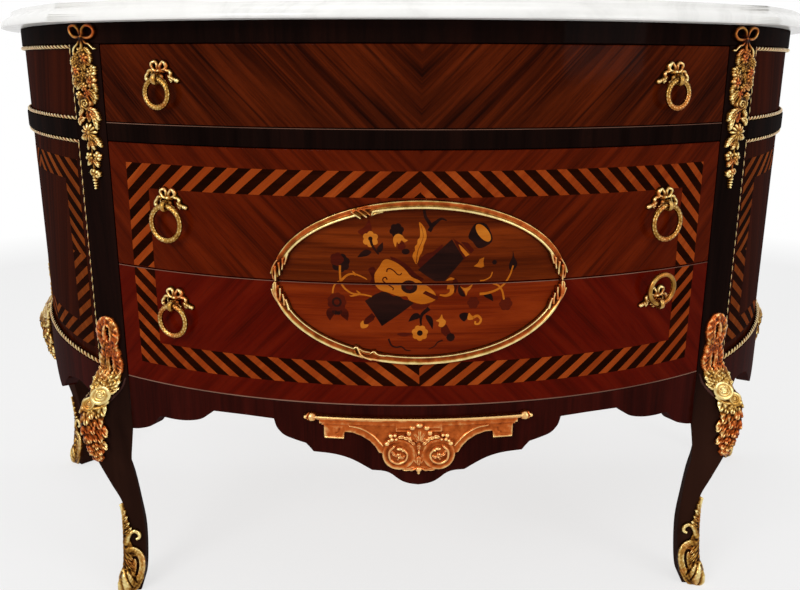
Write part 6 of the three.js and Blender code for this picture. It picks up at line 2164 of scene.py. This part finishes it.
# x towards the middle of the drawer, y up from the hinge, shares of the longer tail's reach
PULL_SHARES = [
    # Loops of the bow
    ("strand",
     [(0.06, 0.4), (0.08, 0.58), (0.2, 0.7), (0.33, 0.64), (0.35, 0.5), (0.24, 0.38), (0.1, 0.36)], 0.105,
     1.0, None, 0, 3),
    ("strand",
     [(-0.06, 0.4), (-0.08, 0.6), (-0.22, 0.72), (-0.36, 0.66), (-0.37, 0.5), (-0.25, 0.38), (-0.1, 0.36)],
     0.105, 1.0, None, 0, 3),
    # Short tail
    ("strand", [(0, 0.3), (-0.26, 0.36), (-0.48, 0.36), (-0.66, 0.2), (-0.74, 0.0)], 0.115, 0.9, 0.115, 0,
     3),
    ("strand", [(-0.3, 0.34), (-0.42, 0.22), (-0.4, 0.1)], 0.055, 0.7, 0.04),
    ("dome", [(-0.7, -0.02)], 0.11, 0.12, 0.85),
    # Long tail, folded twice
    ("strand", [(0, 0.3), (0.22, 0.34), (0.42, 0.36), (0.56, 0.26), (0.56, 0.12)], 0.115, 0.9, 0.1, 0, 3),
    ("strand", [(0.48, 0.1), (0.62, 0.04), (0.76, -0.02), (0.86, -0.06)], 0.115, 0.95, 0.115, 0, 3),
    ("leaf", [(0.5, 0.08), (0.6, -0.06), (0.58, -0.16)], 0.09, 0.9),
    # Knot and the leaves behind the eye
    ("leaf", [(0, 0.05), (-0.14, -0.04), (-0.3, -0.1)], 0.09, 0.7),
    ("leaf", [(0, 0.05), (0.14, -0.04), (0.3, -0.1)], 0.09, 0.7),
    ("leaf", [(0, 0.05), (-0.06, -0.12), (-0.14, -0.24)], 0.09, 0.7),
    ("leaf", [(0, 0.05), (0.06, -0.12), (0.14, -0.24)], 0.09, 0.7), ("dome", [(0, 0.34)], 0.16, 0.12, 1.2),
    ("dome", [(0.01, 0.1)], 0.19, 0.2, 1.0),
]


def pull_field():
    field = Relief(*PULL_FIELD_SHARES)
    cast(field, PULL_SHARES)
    return field


def at_pull(shape, side, row):
    """Points given as (across, up, out) of a pull's hinge, put on the drawer's front."""
    angle = side * math.asin(PULL_X / FRONT_RADIUS)
    x, y = on_front(angle, SEAT_GAP)
    origin = np.array([float(x), float(y), PULL_LEVELS[row]])
    across = np.array([math.cos(angle), math.sin(angle), 0])
    out = np.array([math.sin(angle), -math.cos(angle), 0])
    upright = np.array([0, 0, 1.0])
    u, v, w = (shape[..., i, None] for i in range(3))
    return (origin + u * across + v * upright + w * out).reshape(-1, 3)


RING_STEPS = 176
RING_AROUND = 20
LEAVES_A_HALF = 13
LEAF_ROWS = 3
RING_CORE_SHARE = 0.76
LEAF_ROOT_SHARE = 0.45
PLAIN_BACK_SHARE = 0.55
FACE_EDGE = 1.4
# Light-and-wear levels of the rings: painted highlights on the raised leaves of the face, less on the back
RING_LEAST_LIGHT_AND_WEAR = 0.18
RING_FACE_LIGHT_AND_WEAR = 0.62
RING_BACK_LIGHT_AND_WEAR = 0.32


def ring_points(diameter):
    """A ring (across, up, out) hanging from its hinge, with a laurel pattern on its face, and its
    light-and-wear level: painted highlights on the raised leaves of its face, painted shade on its back.
    """
    radius = (diameter - RING_WIRE) / 2
    phi = np.linspace(0, 2 * math.pi, RING_STEPS, endpoint=False)[:, None]
    theta = np.linspace(0, 2 * math.pi, RING_AROUND, endpoint=False)[None, :]
    from_foot = 1 - np.abs(phi - math.pi) / math.pi
    run = from_foot * LEAVES_A_HALF
    row = theta * LEAF_ROWS / math.pi
    saw = (run + (np.floor(row) % 2) / 2) % 1
    leaf = blend(LEAF_ROOT_SHARE, saw) * np.abs(np.sin(math.pi * (row % 1))) ** 0.45
    face = np.clip(0.5 + FACE_EDGE * np.cos(theta - math.pi / 2), 0, 1)
    pattern = leaf * face + PLAIN_BACK_SHARE * (1 - face)
    reach = RING_WIRE / 2 * blend(RING_CORE_SHARE, pattern)
    across = np.sin(phi) * (radius + reach * np.cos(theta))
    up = np.cos(phi) * (radius + reach * np.cos(theta)) - radius
    out = reach * np.sin(theta) + 0 * phi
    light_and_wear = RING_LEAST_LIGHT_AND_WEAR + RING_FACE_LIGHT_AND_WEAR * pattern * face + RING_BACK_LIGHT_AND_WEAR * (1 - face) + 0 * phi
    return np.stack([across, up, out], axis=-1), light_and_wear


def pull_ring(name, side, row, body, turned_up):
    shape, light_and_wear = ring_points(RINGS[row])
    if turned_up:
        lean = math.pi - RESTING_LEAN
        v, w = shape[..., 1].copy(), shape[..., 2].copy()
        shape[..., 1] = v * math.cos(lean) + w * math.sin(lean)
        shape[..., 2] = w * math.cos(lean) - v * math.sin(lean)
    shape = shape + (0, 0, RING_STAND_OFF)
    faces = tube_faces(RING_STEPS, RING_AROUND, closed=True)[:, ::-1]
    field_mesh(f"laurel_ring_{name}", at_pull(shape, side, row), faces, light_and_wear.ravel(), gilt, body,
               [f"pull_ring_{name}"])


def swept(path, radius, flat):
    """A tube along a path in (across, up, out); flat is how much wider it is across."""
    way = np.gradient(path, axis=0)
    way /= np.linalg.norm(way, axis=1, keepdims=True)
    first = np.array([1.0, 0, 0])
    second = np.cross(way, first)
    second /= np.linalg.norm(second, axis=1, keepdims=True)
    turn = np.linspace(0, 2 * math.pi, STRAP_AROUND, endpoint=False)
    return around_path(path, radius, flat * first[None, None, :], second[:, None, :], turn)


# Strap that holds a ring: a loop round its wire and a short stem behind it, in (across, up, out)
STRAP_AROUND = 14
STRAP_GAP = 0.0008
STRAP_WIRE = 0.0017
STRAP_START = -115
STRAP_END = 245
STRAP_STEPS = 26
STRAP_FLATNESS = 2.0
STRAP_LIGHT_AND_WEAR = 0.6
STEM_WIRE_SHARE = 1.4
STEM_FLATNESS = 1.6
STEM_LINE = np.array([[0, 0.009, 0.001], [0, 0.0085, 0.004], [0, 0.0075, 0.0075]])


def ring_strap(name, side, row, body):
    turns = np.radians(np.linspace(STRAP_START, STRAP_END, STRAP_STEPS))
    reach = RING_WIRE / 2 + STRAP_GAP + STRAP_WIRE
    loop = np.stack([0 * turns, reach * np.sin(turns), RING_STAND_OFF + reach * np.cos(turns)], axis=1)
    for number, (path, wire, flat) in enumerate(((loop, STRAP_WIRE, STRAP_FLATNESS),
                                                 (STEM_LINE, STRAP_WIRE * STEM_WIRE_SHARE, STEM_FLATNESS))):
        points = at_pull(swept(path, wire, flat), side, row)
        field_mesh(f"ring_strap_{name}_{number + 1}", points, tube_faces(len(path), STRAP_AROUND),
                   np.full(len(points), STRAP_LIGHT_AND_WEAR), gilt, body)


def pull_plate(name, side, row, body):
    field = pull_field()
    if side == 1:
        field.h = field.h[:, ::-1]
        field.x = -field.x[:, ::-1]
    level = PULL_LEVELS[row]
    angle = side * math.asin(PULL_X / FRONT_RADIUS)
    relief_piece(f"bow_plate_{name}", field, PULL_REACH, PULL_RISE,
                 lambda across, up: (*on_front(angle + across / FRONT_RADIUS, 0), level + up), gilt, body,
                 [f"pull_plate_{name}"], copper=PULL_COPPER, polish_and_light=-PULL_DULLNESS)


def pulls():
    for row in ("top", "middle", "bottom"):
        for side, word in ((-1, "left"), (1, "right")):
            name = f"{row}_{word}"
            pull_plate(name, side, row, f"drawer_{row}")
            ring_strap(name, side, row, f"drawer_{row}")
            pull_ring(name, side, row, f"ring_{name}", name == "bottom_right")


# Camera, light and floor

CAMERA_PLACE = (-0.055868, -1.080339, 0.816865)
CAMERA_YAW = math.radians(1.555)
CAMERA_PITCH = math.radians(15.474)
CAMERA_ROLL = math.radians(0.15)
CAMERA_LENS = 38.173
SENSOR = 36.0
CLIP_END = 100


def add_camera():
    data = bpy.data.cameras.new("camera")
    data.lens = CAMERA_LENS
    data.sensor_width = SENSOR
    data.clip_end = CLIP_END
    camera = bpy.data.objects.new("camera", data)
    bpy.context.collection.objects.link(camera)
    sin, cos = math.sin(CAMERA_YAW), math.cos(CAMERA_YAW)
    flat = math.cos(CAMERA_PITCH)
    forward = Vector((sin * flat, cos * flat, -math.sin(CAMERA_PITCH)))
    level = Vector((cos, -sin, 0))
    upright = level.cross(forward)
    right = math.cos(CAMERA_ROLL) * level + math.sin(CAMERA_ROLL) * upright
    up = -math.sin(CAMERA_ROLL) * level + math.cos(CAMERA_ROLL) * upright
    matrix = Matrix((right, up, -forward)).transposed().to_4x4()
    matrix.translation = Vector(CAMERA_PLACE) + Vector((0, SHIFT, 0))
    camera.matrix_world = matrix
    bpy.context.scene.camera = camera


# Lamps: place, target, width, height and power
LAMPS = {
    "key": ((-1.9, -2.6, 2.3), (0, -0.2, 0.45), 1.6, 1.2, 42),
    "fill": ((2.2, -2.0, 1.5), (0, -0.2, 0.45), 1.2, 1.6, 16),
    "top": ((0, 0.2, 3.0), (0, 0, 0.5), 2.0, 1.6, 13),
}


def area_lamp(name, place, target, width, height, power):
    data = bpy.data.lights.new(name, "AREA")
    data.shape = "RECTANGLE"
    data.size = width
    data.size_y = height
    data.energy = power
    lamp = bpy.data.objects.new(name, data)
    bpy.context.collection.objects.link(lamp)
    lamp.location = place
    lamp.rotation_euler = (Vector(target) - Vector(place)).to_track_quat("-Z", "Y").to_euler()


WORLD_LIGHT = 0.55


def seen_directly(tree):
    """A value of 1 for the rays that show the background: from the camera, off gloss or through glass."""
    path = tree.nodes.new("ShaderNodeLightPath")
    total = path.outputs["Is Camera Ray"]
    for key in ("Is Glossy Ray", "Is Transmission Ray"):
        node = tree.nodes.new("ShaderNodeMath")
        node.operation = "MAXIMUM"
        tree.links.new(total, node.inputs[0])
        tree.links.new(path.outputs[key], node.inputs[1])
        total = node.outputs[0]
    return total


def add_world():
    world = bpy.data.worlds.new("studio")
    bpy.context.scene.world = world
    world.use_nodes = True
    tree = world.node_tree
    tree.nodes.clear()
    output = tree.nodes.new("ShaderNodeOutputWorld")
    mix = tree.nodes.new("ShaderNodeMixShader")
    for socket, strength in ((mix.inputs[1], WORLD_LIGHT), (mix.inputs[2], 1.0)):
        white = tree.nodes.new("ShaderNodeBackground")
        white.inputs["Color"].default_value = (1, 1, 1, 1)
        white.inputs["Strength"].default_value = strength
        tree.links.new(white.outputs[0], socket)
    tree.links.new(seen_directly(tree), mix.inputs["Fac"])
    tree.links.new(mix.outputs[0], output.inputs["Surface"])


FLOOR_HALF = 12.0
FLOOR_GLOW = 0.68
FLOOR_SHADE = (0.87, 0.87, 0.87, 1)
# Distances from the chest's middle between which the floor turns white to the eye
GLOW_FROM = 1.2
GLOW_FULL = 3.2


def add_floor():
    mesh = bpy.data.meshes.new("floor")
    corners = [(x * FLOOR_HALF, y * FLOOR_HALF, 0) for x, y in ((-1, -1), (1, -1), (1, 1), (-1, 1))]
    mesh.from_pydata(corners, [], [(0, 1, 2, 3)])
    floor = bpy.data.objects.new("floor", mesh)
    bpy.context.collection.objects.link(floor)
    n = Nodes("floor_pale")
    n.set(Base_Color=FLOOR_SHADE, Roughness=0.7, Specular_IOR_Level=0.1)
    glow = n.add("ShaderNodeEmission")
    glow.inputs["Strength"].default_value = 1.0
    place = n.add("ShaderNodeTexCoord").outputs["Object"]
    length = n.add("ShaderNodeVectorMath", operation="LENGTH")
    n.put(length.inputs[0], place)
    far = n.grey(length.outputs["Value"], GLOW_FROM, 0.0, GLOW_FULL, 1.0)
    share = n.maths("MULTIPLY", seen_directly(n.tree), n.maths("MAXIMUM", far, FLOOR_GLOW))
    mix = n.add("ShaderNodeMixShader")
    output = next(node for node in n.tree.nodes if node.type == "OUTPUT_MATERIAL")
    n.put(mix.inputs["Fac"], share)
    n.put(mix.inputs[1], n.shader.outputs[0])
    n.put(mix.inputs[2], glow.outputs[0])
    n.put(output.inputs["Surface"], mix.outputs[0])
    mesh.materials.append(n.material)


def build():
    marble_top()
    top_frame()
    mid_rail()
    drawer_front("drawer_top", WAIST_HIGH + DRAWER_GAP, FRIEZE_LOW - DRAWER_GAP, top_veneer)
    drawer_front("drawer_middle", SEAM + SEAM_GAP, WAIST_LOW - DRAWER_GAP, veneer)
    drawer_front("drawer_bottom", APRON_TOP + DRAWER_GAP, SEAM - SEAM_GAP, low_veneer)
    sides(side_panel)
    sides(side_band)
    front_apron()
    sides(side_apron)
    for which in ("front", "rear"):
        sides(lambda side, word: post(which, side, word))
    drawer_stripes()
    sides(side_stripes)
    edge_lights()
    marquetry()
    garlands()
    knee_shoulders()
    knee_mounts()
    sabots()
    apron_mount()
    oval_frame()
    sides(side_beads)
    pulls()
    # The plain boards inside are the only solids that stay in sight
    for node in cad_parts.values():
        node.data.materials.clear()
        node.data.materials.append(board_wood)


build()
add_camera()
add_world()
for lamp, settings in LAMPS.items():
    area_lamp(lamp, *settings)
add_floor()
bpy.context.scene.view_settings.view_transform = "Standard"
